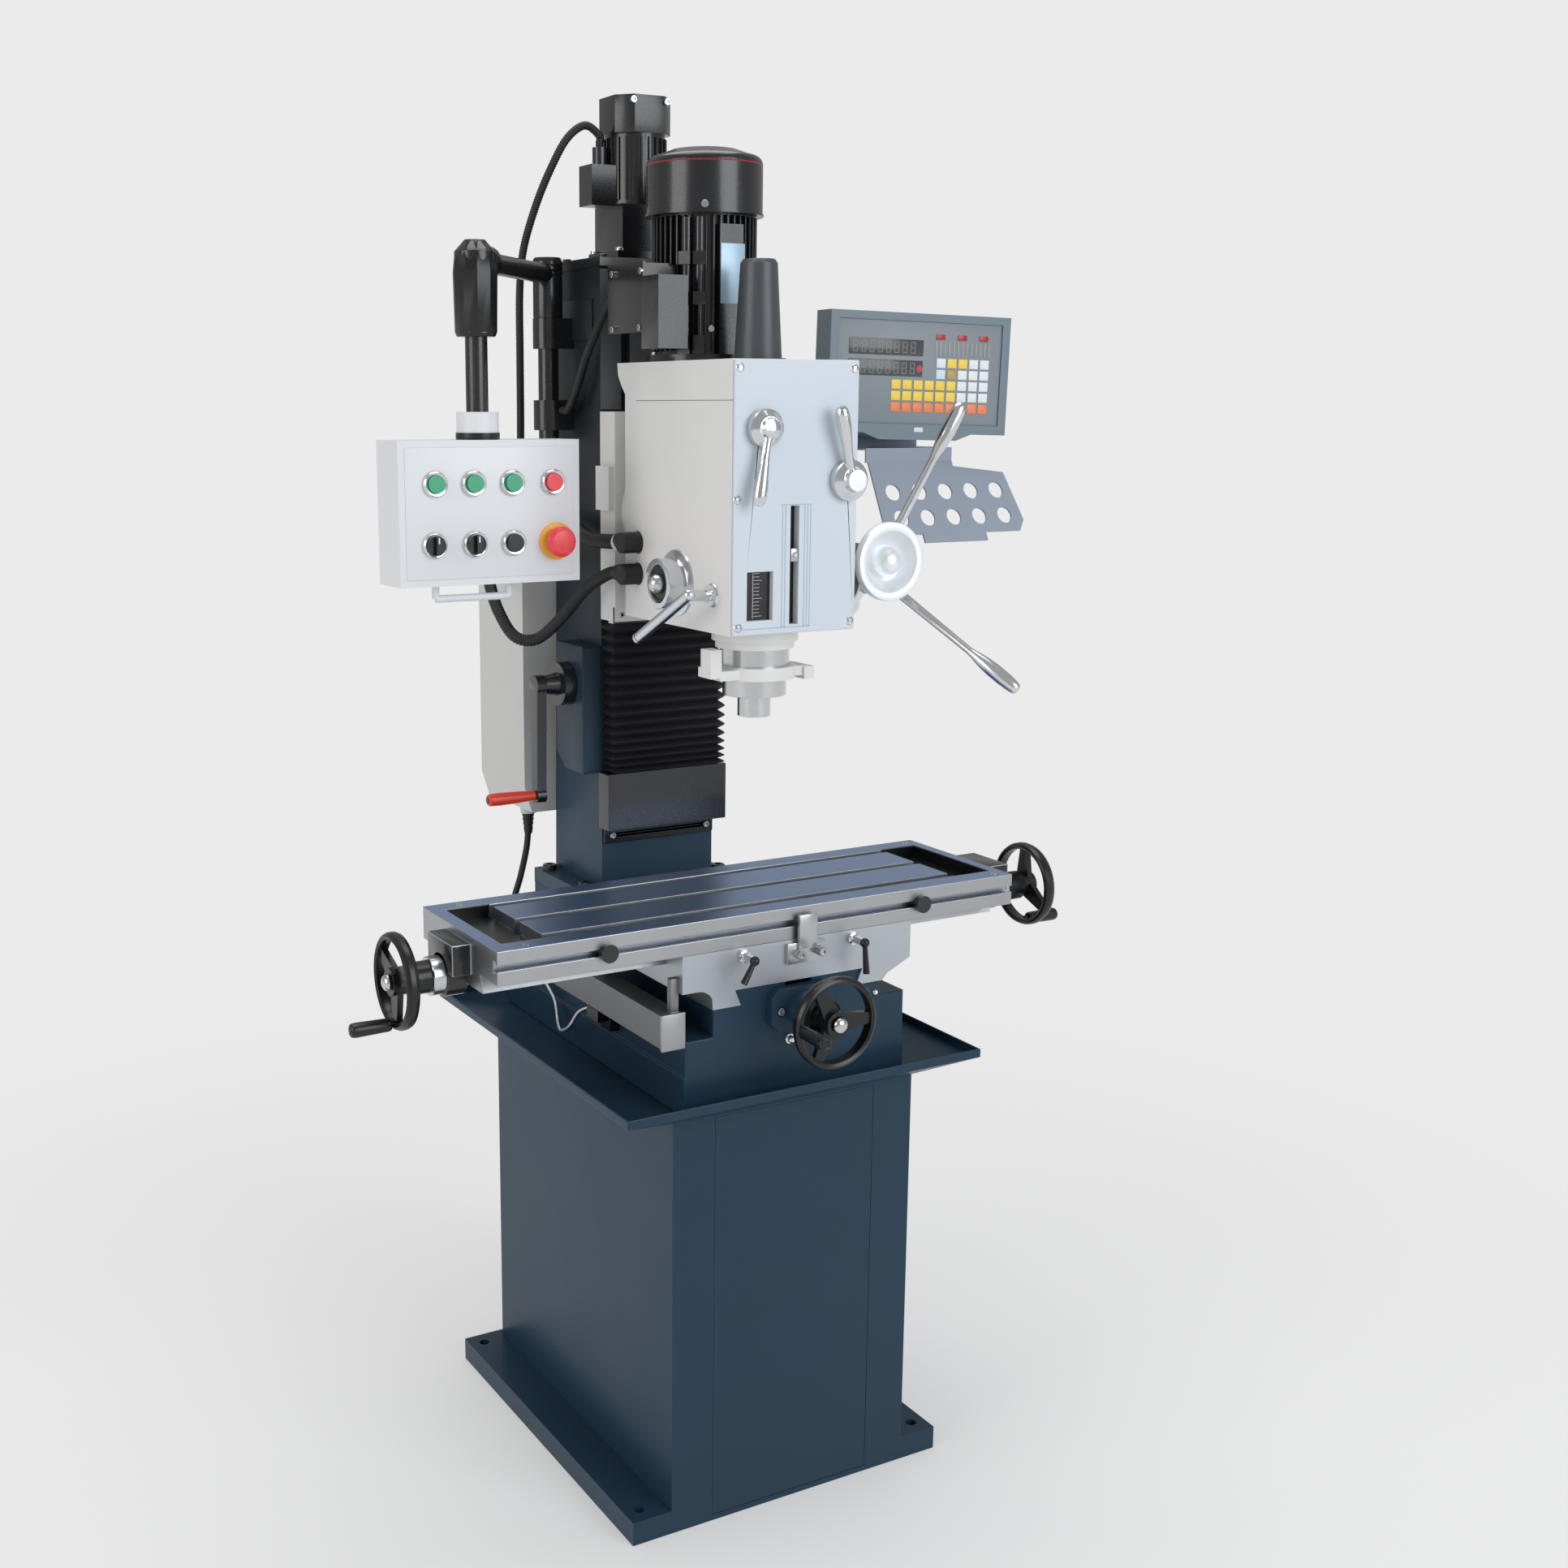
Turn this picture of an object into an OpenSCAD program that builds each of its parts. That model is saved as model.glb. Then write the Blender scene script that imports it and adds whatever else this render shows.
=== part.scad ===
// Milling drilling machine on a floor stand, in millimetres.
// Origin: centre of the four floor bolts, on the floor.
// X to the operator's right, Y away from the operator, Z up.

/* [Floor stand] */
// Spacing of the floor bolts, left to right
floor_bolt_x = 460; // [430:1:470]
// Spacing of the floor bolts, front to back
floor_bolt_y = 524; // [500:1:540]
// Diameter of the floor bolt holes
floor_bolt_d = 16; // [12:1:20]
// Width of the foot frame
foot_w = 506; // [500:1:540]
// Depth of the foot frame
foot_d = 575; // [570:1:600]
// Height of the foot frame
foot_h = 34; // [25:1:50]
// Width of the sheet cabinet
stand_w = 386; // [380:1:400]
// Depth of the sheet cabinet
stand_d = 560; // [550:1:570]
// Height of the sheet cabinet above the foot frame
stand_h = 563; // [450:1:700]
// Sheet thickness of the cabinet
stand_sheet = 4; // [2:0.5:6]
// Width of the front panel
panel_w = 256; // [200:1:280]
// Thickness of the front panel
panel_t = 3; // [2:0.5:4]

/* [Chip tray] */
// Width over the tray's rim
tray_w = 564; // [540:1:620]
// How far the rim stands out in front of the stand
tray_front = 41; // [30:1:60]
// How far the rim stands out behind the stand
tray_rear = 19; // [10:1:30]
// Height of the flared wall
tray_flare = 21; // [10:1:40]
// Height of the upright lip
tray_lip = 12; // [6:1:20]
// Sheet thickness of the tray
tray_t = 3; // [2:0.5:4]

/* [Base] */
// Width over the base casting
base_w = 350; // [340:1:370]
// Length of the base casting
base_d = 552; // [540:1:560]
// Height of the ways above the tray
base_h = 143; // [130:1:160]
// Width of the raised middle of the base
base_mid_w = 266; // [250:1:280]
// Height of the left shoulder
shoulder_left_h = 104; // [90:1:115]
// Height of the right shoulder
shoulder_right_h = 122; // [100:1:130]
// Width of the base dovetail at its foot
base_dove_w = 185; // [170:1:195]
// How far each dovetail side leans out over its height
dove_lean = 9; // [6:0.5:12]
// Height of the base dovetail
base_dove_h = 22; // [16:1:26]
// Width of the pad that carries the column
pad_w = 260; // [250:1:270]
// Length of the column pad
pad_d = 180; // [178:1:190]
// Height of the column pad above the ways
pad_h = 47; // [42:1:60]

/* [Slides and screws] */
// Clearance on each sliding face
slide_gap = 0.1; // [0.05:0.05:0.2]
// Radial clearance of shafts in their bores
fit = 0.05; // [0.02:0.01:0.1]
// Radius of the feed screws
screw_r = 10; // [8:0.5:11]
// Radius of the screw journals
journal_r = 8; // [6:0.5:9]
// Height of the cross screw below the ways
y_screw_drop = 14; // [13:0.5:16]

/* [Saddle] */
// Width of the saddle
saddle_w = 363; // [340:1:370]
// Length of the saddle and width of the table
saddle_d = 240; // [220:1:250]
// Height of the saddle above the ways
saddle_h = 79; // [74:1:90]
// Width of the saddle's foot
saddle_foot_w = 271; // [262:1:290]

/* [Table] */
// Length of the table
table_l = 800; // [760:1:840]
// How far the table's middle stands left of the spindle
table_shift = 42; // [0:1:60]
// Thickness of the table
table_h = 44; // [40:1:60]
// Width of the table dovetail at its foot
table_dove_w = 150; // [130:1:160]
// Height of the table dovetail
table_dove_h = 22; // [20:1:24]
// Width of a tee slot
slot_w = 14; // [12:1:16]
// Distance between the tee slots
slot_pitch = 80; // [70:1:81]
// Depth of the coolant troughs
trough_h = 18; // [12:1:22]
// Length of a coolant trough
trough_l = 62; // [50:1:80]

/* [Handwheels] */
// Diameter of the handwheels
wheel_d = 125; // [110:1:130]
// Length of a handwheel's revolving grip
wheel_grip_l = 54; // [40:1:60]
// Diameter of the graduated dials
dial_d = 50; // [40:1:60]

/* [Column] */
// Width of the column
column_w = 189; // [180:1:200]
// Height of the column above its foot
column_h = 899; // [820:1:1000]
// Depth of the column at its foot
column_d = 158; // [150:1:165]
// How much the column narrows towards the top
column_taper = 20; // [0:1:30]
// Wall thickness of the column
column_wall = 15; // [10:1:20]
// Thickness of the column's foot flange
column_foot_h = 22; // [16:1:30]
// Distance from the column's ways to the spindle axis
throat = 269; // [260:1:280]
// Height of the column dovetail
column_dove_h = 22; // [16:1:24]
// Width of the column dovetail at its root
column_dove_w = 100; // [90:1:110]
// Thickness of the plate on the column
top_plate_t = 13; // [8:1:20]

/* [Head] */
// Height of the head's tilt axis
tilt_z = 1370; // [1360:1:1380]
// Width of the head
head_w = 190; // [180:1:195]
// Height of the head
head_h = 349; // [340:1:360]
// Distance from the tilt axis down to the head's underside
head_drop = 142; // [135:1:150]
// Distance from the spindle axis to the head's front face
head_front = 97; // [90:1:105]
// Thickness of the head's front panel
face_t = 4; // [3:0.5:6]
// Wall thickness of the head
head_wall = 14; // [10:1:18]
// Diameter of the tilting flange
tilt_flange_d = 180; // [150:1:185]

/* [Quill and spindle] */
// Diameter of the quill
quill_d = 75; // [70:1:80]
// Diameter of the ground collar at the quill's lower end
collar_d = 94; // [90:1:100]
// Diameter of the bearing cap below the stop plate
cap_ring_d = 86.5; // [80:0.5:90]
// Diameter of the spindle nose
nose_d = 44.7; // [40:0.1:60]
// Diameter of the taper at the spindle's mouth
taper_d = 31.3; // [28:0.1:32]
// Thickness of the quill stop plate
stop_plate_t = 17; // [10:1:20]

/* [Feed] */
// Distance from the spindle axis back to the feed shaft
feed_offset = 46; // [45:1:50]
// Radius of the feed shaft
feed_shaft_r = 12; // [9:1:13]
// Number of feed handles
feed_handles = 3; // [3:1:4]
// Length of a feed handle from the point where they meet
feed_handle_l = 267; // [240:1:270]
// How far the feed handles lean outwards
feed_lean = 25.7; // [20:0.1:30]
// Diameter of the fine feed wheel
fine_wheel_d = 108; // [90:1:110]

/* [Main motor] */
// Diameter of the motor cowl
cowl_d = 158; // [150:1:164]
// Diameter over the motor ribs
motor_d = 143; // [130:1:148]
// Number of motor ribs
motor_ribs = 44; // [24:1:60]
// Height of the ribbed motor body
motor_body_h = 183; // [150:1:220]
// Height of the motor cowl
cowl_h = 65; // [50:1:90]

/* [Pendant] */
// Width of the pendant box
box_w = 260; // [250:1:270]
// Height of the pendant box
box_h = 189; // [180:1:210]
// Depth of the pendant box
box_d = 75; // [60:1:80]
// Wall thickness of the pendant box
box_t = 2; // [1.5:0.5:4]
// Diameter of the pendant tubes
pendant_tube_d = 29.5; // [26:0.5:32]

/* [Readout] */
// Width of the readout console
readout_w = 318; // [300:1:330]
// Height of the readout console
readout_h = 181; // [170:1:190]
// Depth of the readout console
readout_d = 46; // [40:1:50]
// Diameter of the holes in the tool rack
rack_hole_d = 27; // [20:1:30]

/* [Way cover] */
// Number of pleats
pleats = 16; // [10:1:24]
// Depth of a pleat
pleat_h = 9; // [6:1:12]

/* [Hidden] */
$fn = 48;
side_gap = 0.4;
seat_gap = 0.3;
// Heights, from the floor up
stand_top = foot_h + stand_h;
base_z = stand_top + tray_t;
way_z = base_z + base_h;
dove_z = way_z + base_dove_h;
saddle_top = way_z + saddle_h;
table_z = saddle_top + slide_gap;
table_top = table_z + table_h;
column_z = way_z + pad_h;
column_body_z = column_z + column_foot_h;
column_top = column_body_z + column_h;
top_plate_z = column_top + top_plate_t;
x_screw_z = table_z - 13;
y_screw_z = way_z - y_screw_drop;
// Depths, from the front to the back
front_y = -foot_d / 2;
base_rear = front_y + base_d;
pad_y = base_rear - pad_d;
way_y = 102;
column_rear = way_y + column_d;
spindle_y = way_y - throat;
saddle_y0 = spindle_y - 4 - saddle_d / 2;
saddle_y1 = saddle_y0 + saddle_d;
x_screw_y = (saddle_y0 + saddle_y1) / 2;
slide_y0 = 57;
tilt_y = 45;
head_rear = 26;
head_y0 = spindle_y - head_front;
feed_y = spindle_y + feed_offset;
lift_y = 150;
// Widths
table_x0 = -table_shift - table_l / 2;
table_x1 = table_x0 + table_l;
head_x = head_w / 2;
// Head heights
head_z = tilt_z - head_drop;
head_top = head_z + head_h;
boss_z = head_z - 28;
collar_z = boss_z - 28;
plate_z = collar_z - 13;
cap_ring_z = plate_z - 24;
nose_z = cap_ring_z - 29.5;
feed_z = head_z + 58;
slide_z0 = tilt_z - 155;
slide_z1 = tilt_z + 141;
motor_y = spindle_y + 141;
motor_z = head_top + 10;
cowl_z = motor_z + motor_body_h;
crank_z = 1117;
wheel_r = wheel_d / 2;
grip_offset = wheel_r - 7;
bellows_z0 = 990;
bellows_z1 = slide_z0 - 3;
// Electrical cabinet behind the column
cab_x = 146;
cab_y0 = column_rear + 2;
cab_y1 = cab_y0 + 161;
cab_z0 = 900;
cab_z1 = 1440;
cab_t = 2;

// Plain shapes placed by their limits
module block(a, b) translate(a) cube(b - a);
module rod_x(r, x0, x1, y, z) translate([x0, y, z]) rotate([0, 90, 0]) cylinder(r = r, h = x1 - x0);
module rod_y(r, y0, y1, x, z) translate([x, y1, z]) rotate([90, 0, 0]) cylinder(r = r, h = y1 - y0);
module rod_z(r, z0, z1, x, y) translate([x, y, z0]) cylinder(r = r, h = z1 - z0);
module cone_x(r0, r1, x0, x1, y, z)
  translate([x0, y, z]) rotate([0, 90, 0]) cylinder(r1 = r0, r2 = r1, h = x1 - x0);
module rod(p, q, r0, r1) {
  d = q - p;
  translate(p) rotate([0, acos(d.z / norm(d)), atan2(d.y, d.x)]) cylinder(r1 = r0, r2 = r1, h = norm(d));
}
// Profiles drawn in one plane and run along the axis across it
module along_x(x0, x1) translate([x0, 0, 0]) rotate([90, 0, 90]) linear_extrude(x1 - x0) children();
module along_y(y0, y1) translate([0, y1, 0]) rotate([90, 0, 0]) linear_extrude(y1 - y0) children();
module along_z(z0, z1) translate([0, 0, z0]) linear_extrude(z1 - z0) children();
// Dovetail section: half widths at the foot and at the head, and its two heights
module dove(foot, head, z0, z1, at = 0)
  polygon([[at - foot, z0], [at + foot, z0], [at + head, z1], [at - head, z1]]);

// Smooth curve through points chosen by hand
function curve_at(a, b, c, d, t) = 0.5 * ((2 * b) + (c - a) * t + (2 * a - 5 * b + 4 * c - d) * t * t
  + (3 * b - a - 3 * c + d) * t * t * t);
function route(p, steps) = let(n = len(p) - 1) concat([for (i = [0 : n - 1], k = [0 : steps - 1])
  curve_at(p[max(i - 1, 0)], p[i], p[i + 1], p[min(i + 2, n)], k / steps)], [p[n]]);
function unit(v) = v / norm(v);
function tangent(p, i) = unit(p[min(i + 1, len(p) - 1)] - p[max(i - 1, 0)]);
function ring(p, t, r, sides, across) = let(u = unit(cross(across, t)), v = cross(t, u))
  [for (k = [0 : sides - 1]) p + r * (cos(360 * k / sides) * u + sin(360 * k / sides) * v)];
function quads(rings, sides) = [for (i = [0 : rings - 2], k = [0 : sides - 1])
  let(a = i * sides + k, b = i * sides + (k + 1) % sides, c = b + sides, d = a + sides) each [[a, c, b], [a, d, c]]];
// Solid tube: one radius for each point of its route
module tube(p, radii, sides, across) {
  n = len(p);
  pts = [for (i = [0 : n - 1]) each ring(p[i], tangent(p, i), radii[i], sides, across)];
  start_cap = [for (k = [1 : sides - 2]) [0, k, k + 1]];
  end_cap = [for (k = [1 : sides - 2]) (n - 1) * sides * [1, 1, 1] + [0, k + 1, k]];
  polyhedron(pts, concat(start_cap, quads(n, sides), end_cap));
}
// Ribbed hose with its bore: ribs from crests and roots in turn, with plain ends
module ribbed_hose(p, r, rib, bore, across) {
  n = len(p);
  plain = ceil(2 * r / norm(p[1] - p[0]));
  outer = [for (i = [0 : n - 1]) i < plain || i >= n - plain ? r : (i % 2 == 0 ? r : r - rib)];
  inner_route = concat([p[0] - tangent(p, 0)], [for (i = [0 : 4 : n - 1]) p[i]], [p[n - 1] + tangent(p, n - 1)]);
  difference() {
    tube(p, outer, 8, across);
    tube(inner_route, [for (q = inner_route) bore], 8, across);
  }
}

// Stand
module stand_cabinet() color("#34404c") difference() {
  union() {
    block([-foot_w / 2, front_y, 0], [foot_w / 2, -front_y, foot_h]);
    block([-stand_w / 2, front_y, foot_h], [stand_w / 2, front_y + stand_d, stand_top]);
  }
  block([stand_sheet - stand_w / 2, front_y + panel_t + stand_sheet, -1],
    [stand_w / 2 - stand_sheet, front_y + stand_d - stand_sheet, stand_top - stand_sheet]);
  block([-panel_w / 2 - side_gap, front_y - 1, foot_h / 4 - side_gap],
    [panel_w / 2 + side_gap, front_y + panel_t, stand_top - 6 + side_gap]);
  block([-panel_w / 2 + 14, front_y - 1, foot_h + 16], [panel_w / 2 - 14, front_y + 20, stand_top - 20]);
  for (x = [-1, 1], y = [-1, 1])
    rod_z(floor_bolt_d / 2, -1, foot_h + 1, x * floor_bolt_x / 2, y * floor_bolt_y / 2);
}

module stand_front_panel() color("#3b4d5d")
  block([-panel_w / 2, front_y, foot_h / 4], [panel_w / 2, front_y + panel_t, stand_top - 6]);

// Tray: a flared pan with an upright lip, made of two shells
module tray_form(inset) {
  z0 = stand_top + inset;
  z1 = stand_top + tray_flare;
  hull() {
    block([inset - stand_w / 2, front_y + inset - 4, z0], [stand_w / 2 - inset, front_y + stand_d - inset, z0 + 0.01]);
    block([inset - tray_w / 2, front_y - tray_front + inset, z1],
      [tray_w / 2 - inset, front_y + stand_d + tray_rear - inset, z1 + 0.01]);
  }
  block([inset - tray_w / 2, front_y - tray_front + inset, z1],
    [tray_w / 2 - inset, front_y + stand_d + tray_rear - inset, z1 + tray_lip + inset]);
}
module chip_tray() color("#2c3a47") difference() {
  tray_form(0);
  tray_form(tray_t);
}

// Base casting with its dovetail, screw channel and column pad
module base_casting() color("#34404c") difference() {
  union() {
    block([-base_mid_w / 2, front_y, base_z], [base_mid_w / 2, base_rear, way_z]);
    block([-base_w / 2, front_y, base_z], [0, base_rear, base_z + shoulder_left_h]);
    block([0, front_y, base_z], [base_w / 2, base_rear, base_z + shoulder_right_h]);
    block([-base_w / 2 - 2, front_y, base_z], [base_w / 2 + 2, base_rear, base_z + 55]);
    along_y(front_y, pad_y) dove(base_dove_w / 2, base_dove_w / 2 + dove_lean, way_z, dove_z);
    block([-pad_w / 2, pad_y, way_z], [pad_w / 2, base_rear, column_z]);
  }
  block([-20, front_y - 1, y_screw_z - screw_r - 12], [20, pad_y - 20, dove_z + 1]);
  block([-base_mid_w / 2 + 20, pad_y + 12, base_z - 1], [base_mid_w / 2 - 20, base_rear - 16, way_z + 12]);
  block([-base_mid_w / 2 + 20, front_y + 16, base_z - 1], [base_mid_w / 2 - 20, pad_y, y_screw_z - screw_r - 24]);
}

module y_screw_bracket() color("#3b4d5d") difference() {
  union() {
    along_y(front_y - 13, front_y) polygon([[-50, way_z - 32], [-38, way_z - 42], [38, way_z - 42], [50, way_z - 32],
      [50, dove_z - 17], [38, dove_z - 6], [-38, dove_z - 6], [-50, dove_z - 17]]);
    rod_y(24, front_y - 34, front_y - 13, 0, y_screw_z);
  }
  rod_y(journal_r + fit, front_y - 35, front_y + 1, 0, y_screw_z);
  for (x = [-34, 34]) rod_y(7, front_y - 14, front_y - 5, x, y_screw_z - 2);
}

// Column: tapered box casting with front ways
module column() {
  color("#2b3640") difference() {
    union() {
      along_x(-column_w / 2, column_w / 2) polygon([[way_y, column_body_z], [column_rear, column_body_z],
        [column_rear - column_taper, column_top], [way_y, column_top]]);
      block([-pad_w / 2, way_y - 7, column_z], [pad_w / 2, column_rear + 4, column_body_z]);
      along_z(bellows_z0 - 80, column_top) polygon([[-column_dove_w / 2, way_y + 1], [column_dove_w / 2, way_y + 1],
        [column_dove_w / 2 + dove_lean, way_y - column_dove_h], [-column_dove_w / 2 - dove_lean, way_y - column_dove_h]]);
      for (z = [950, 1390]) block([-60, way_y + 100, z - 20], [60, column_rear + 2, z + 20]);
    }
    block([column_wall - column_w / 2, way_y + column_wall, column_z - 1],
      [column_w / 2 - column_wall, column_rear - column_taper - column_wall, column_top - 20]);
    block([-22, way_y - column_dove_h - 1, bellows_z0 - 40], [22, way_y + column_wall + 1, column_top - 60]);
    rod_z(30, column_top - 21, column_top + 1, 0, lift_y);
    rod_x(journal_r + fit, -column_w / 2 - 1, -column_w / 2 + column_wall + 1, lift_y, crank_z);
    for (x = [-1, 1], y = [way_y + 14, column_rear - 20])
      rod_z(7, column_z - 1, column_body_z + 1, x * (pad_w / 2 - 15), y);
  }
  color("#2b3640") difference() {
    block([-97, way_y - 4, column_top], [97, column_rear - column_taper, top_plate_z]);
    rod_z(journal_r + fit, column_top - 1, top_plate_z - 4, 0, lift_y);
  }
  color("#2b3640") difference() {
    union() {
      block([column_w / 2, 160, 1500], [column_w / 2 + 12, 220, 1575]);
      block([column_w / 2 + 12, 178, 1520], [column_w / 2 + 34, 202, 1536]);
    }
    rod_z(6 + fit, 1519, 1537, column_w / 2 + 24, 190);
  }
}

// Lift motor standing on the column's plate, with terminal box and octagonal fan cap
module lift_motor() {
  my = 173;
  color("#1d1f22") difference() {
    union() {
      block([-52, my - 46, top_plate_z], [52, my + 46, top_plate_z + 12]);
      block([-43, my - 43, top_plate_z + 12], [43, my + 43, top_plate_z + 77]);
      rod_z(43, top_plate_z + 77, top_plate_z + 176, 0, my);
      for (k = [0 : 23]) rotate_about(0, my, 15 * k)
        block([40, my - 1.2, top_plate_z + 84], [46, my + 1.2, top_plate_z + 170]);
    }
    rod_z(journal_r + 1, top_plate_z - 1, top_plate_z + 8, 0, lift_y);
  }
  color("#141517") translate([0, my, top_plate_z + 175]) linear_extrude(51) octagon(45, 21);
  color("#1d1f22") {
    block([-80, my - 20, top_plate_z + 75], [-38, my + 20, top_plate_z + 131]);
    rod_z(10.5, top_plate_z + 131, top_plate_z + 156, -57, my);
  }
}
module rotate_about(x, y, a) translate([x, y, 0]) rotate([0, 0, a]) translate([-x, -y, 0]) children();
module octagon(half, cut) polygon([[-half, cut - half], [cut - half, -half], [half - cut, -half], [half, cut - half],
  [half, half - cut], [half - cut, half], [cut - half, half], [-half, half - cut]]);

lift_drop = top_plate_z - cab_z1;
lift_conduit_route = [[-57, 173, top_plate_z + 156], [-57, 173, top_plate_z + 164], [-57, 173, top_plate_z + 172],
  [-80, 173, top_plate_z + 185], [-107, 176, top_plate_z + 166], [-126, 190, top_plate_z + 126],
  [-140, 212, top_plate_z + 76], [-152, 230, top_plate_z + 16], [-156, 236, cab_z1 + 0.85 * lift_drop],
  [-153, 244, cab_z1 + 0.56 * lift_drop], [-144, 264, cab_z1 + 0.28 * lift_drop],
  [-136, 282, cab_z1 + 40], [-134, 287, cab_z1 + 18], [-134, 287, cab_z1 + 9], [-134, 287, cab_z1]];
module lift_motor_conduit() color("#1a1b1d") {
  p = route(lift_conduit_route, 4);
  tube(p, [for (q = p) 6], 8, [0.4, 0.9, 0.2]);
}

module crank_gearbox() color("#33424f") difference() {
  along_x(-column_w / 2 - 31, -column_w / 2) polygon([[way_y, crank_z - 108], [way_y, crank_z + 59],
    [way_y + 88, crank_z + 59], [way_y + 88, crank_z - 108], [way_y + 60, crank_z - 130], [way_y, crank_z - 130]]);
  rod_x(journal_r + fit, -column_w / 2 - 32, -column_w / 2 + 1, lift_y, crank_z);
}

// Electrical cabinet behind the column: a folded box with a door at its back
module cabinet_outline(inset) polygon([[-cab_x + inset, cab_z0 + 40], [-cab_x + 12 + inset, cab_z0 + inset],
  [cab_x - 12 - inset, cab_z0 + inset], [cab_x - inset, cab_z0 + 40], [cab_x - inset, cab_z1 - inset],
  [-cab_x + inset, cab_z1 - inset]]);
module electrical_cabinet() color("#c9c9c9") {
  difference() {
    along_y(cab_y0, cab_y1) cabinet_outline(0);
    along_y(cab_y0 + cab_t, cab_y1 + 1) cabinet_outline(cab_t);
    rod_z(8, cab_z0 - 1, cab_z0 + 5, -123, 300);
  }
  block([-110, cab_y0 + cab_t, cab_z0 + 60], [110, cab_y0 + cab_t + 3, cab_z1 - 40]);
  for (z = [cab_z1 - 120, cab_z0 + 120, cab_z0 + 260])
    block([-90, cab_y0 + cab_t + 3, z - 40], [90, cab_y0 + cab_t + 70, z + 40]);
  for (z = [cab_z0 + 80, cab_z1 - 80]) {
    block([cab_x, cab_y1 - 24, z - 20], [cab_x + 2, cab_y1 - 4, z]);
    difference() {
      rod_z(5, z - 20, z, cab_x + 5, cab_y1 - 4);
      rod_z(2, z - 21, z + 1, cab_x + 5, cab_y1 - 4);
    }
  }
  difference() {
    rod_z(12, cab_z0 - 8, cab_z0, -123, 300);
    rod_z(5.3, cab_z0 - 9, cab_z0 + 1, -123, 300);
  }
}
module cabinet_door() color("#bfc0c1") {
  along_y(cab_y1 + seat_gap, cab_y1 + seat_gap + 2) cabinet_outline(0);
  rod_y(9, cab_y1 - 8, cab_y1 + 6, -cab_x + 20, tilt_z - 200);
  for (z = [cab_z0 + 80, cab_z1 - 80]) {
    block([cab_x - 10, cab_y1 + seat_gap, z + 1], [cab_x + 6, cab_y1 + seat_gap + 2, z + 20]);
    rod_z(4.5, z + 0.3, z + 20, cab_x + 5, cab_y1 - 1);
    rod_z(2 - fit, z - 20, z + 1, cab_x + 5, cab_y1 - 4);
  }
}

// Pendant support: clamps on the column's left face and the post
post_x = -125;
post_y = 207;
tube_r = pendant_tube_d / 2;
module pendant_post() color("#17181a") {
  for (z = [1484, 1600]) difference() {
    union() {
      block([-column_w / 2 - 30, post_y - 22, z], [-column_w / 2, post_y + 22, z + 43]);
      rod_z(22, z, z + 43, post_x, post_y);
    }
    rod_z(tube_r, z - 1, z + 44, post_x, post_y);
  }
  rod_z(tube_r, 1470, 1690, post_x, post_y);
}

// Way cover: pleats by a rule, closer together towards the bottom
function pleat_z(u) = bellows_z1 - (bellows_z1 - bellows_z0) * (1.15 * u - 0.15 * pow(u, 4));
function pleat_line(edge, depth) = [for (i = [0 : 2 * pleats])
  [edge - (i % 2 == 0 ? depth : 0), pleat_z(i / (2 * pleats))]];
module pleated_form(half, front, depth) intersection() {
  along_y(front - 1, way_y) polygon(concat(pleat_line(half, depth), [for (i = [2 * pleats : -1 : 0])
    [-pleat_line(half, depth)[i].x, pleat_line(half, depth)[i].y]]));
  along_x(-half - 1, half + 1) polygon(concat([for (q = pleat_line(-front, depth)) [-q.x, q.y]],
    [[way_y, bellows_z0], [way_y, bellows_z1]]));
}
module bellows() color("#18191b") difference() {
  pleated_form(96, way_y - 40, pleat_h);
  pleated_form(94.5, way_y - 38.5, pleat_h);
  block([-90, way_y - 20, bellows_z0 - 1], [90, way_y + 1, bellows_z1 + 1]);
}

module bellows_lower_cover() color("#18191b") {
  difference() {
    block([-100, way_y - 32, bellows_z0 - 85], [100, way_y, bellows_z0 - seat_gap]);
    block([-98, way_y - 30, bellows_z0 - 83], [98, way_y + 1, bellows_z0 - 2 - seat_gap]);
    block([-column_dove_w / 2 - dove_lean - 6, way_y - column_dove_h - 6, bellows_z0 - 3],
      [column_dove_w / 2 + dove_lean + 6, way_y + 1, bellows_z0 + 1]);
  }
  difference() {
    block([-93, way_y - 5, bellows_z0 - 110], [93, way_y, bellows_z0 - 84]);
    for (x = [-80, 80]) rod_y(3, way_y - 6, way_y + 1, x, bellows_z0 - 98);
  }
}

// Hoses at the head's left side
upper_hose_route = [[-109, 20, 1332], [-109, 27, 1332], [-109, 34, 1332], [-111, 50, 1331], [-116, 90, 1332],
  [-122, 140, 1346], [-135, 200, 1352], [-150, 245, 1350], [-172, 280, 1346], [-186, 305, 1340],
  [-182, 325, 1333], [-168, 330, 1330], [-157, 330, 1330],
  [-0.3 - cab_x, 330, 1330]];
lower_hose_route = [[-108, 16, 1289], [-108, 23, 1289], [-108, 30, 1289], [-112, 54, 1283], [-125, 95, 1258],
  [-150, 125, 1215], [-178, 145, 1186], [-206, 160, 1190], [-222, 180, 1225], [-220, 215, 1262],
  [-204, 255, 1279], [-194, 290, 1281], [-182, 308, 1280],
  [-164, 314, 1280], [-155, 314, 1280], [-0.3 - cab_x, 314, 1280]];
module head_hoses() color("#1c1d20") {
  ribbed_hose(route(upper_hose_route, 7), 10.5, 1.2, 7, [0, 0, 1]);
  ribbed_hose(route(lower_hose_route, 6), 9, 1, 6, [1, 0.3, 0.1]);
}
motor_conduit_route = [[-100, 36, motor_z + 75], [-100, 42, motor_z + 75], [-100, 49, motor_z + 75],
  [-103, 68, motor_z + 62], [-106, 94, motor_z + 31], [-109, 120, motor_z - 4], [-111, 140, 1548],
  [-112.5, 156, 1525], [-113, 167, 1514], [-113, 176, 1512], [-113, 184.7, 1512]];
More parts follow.
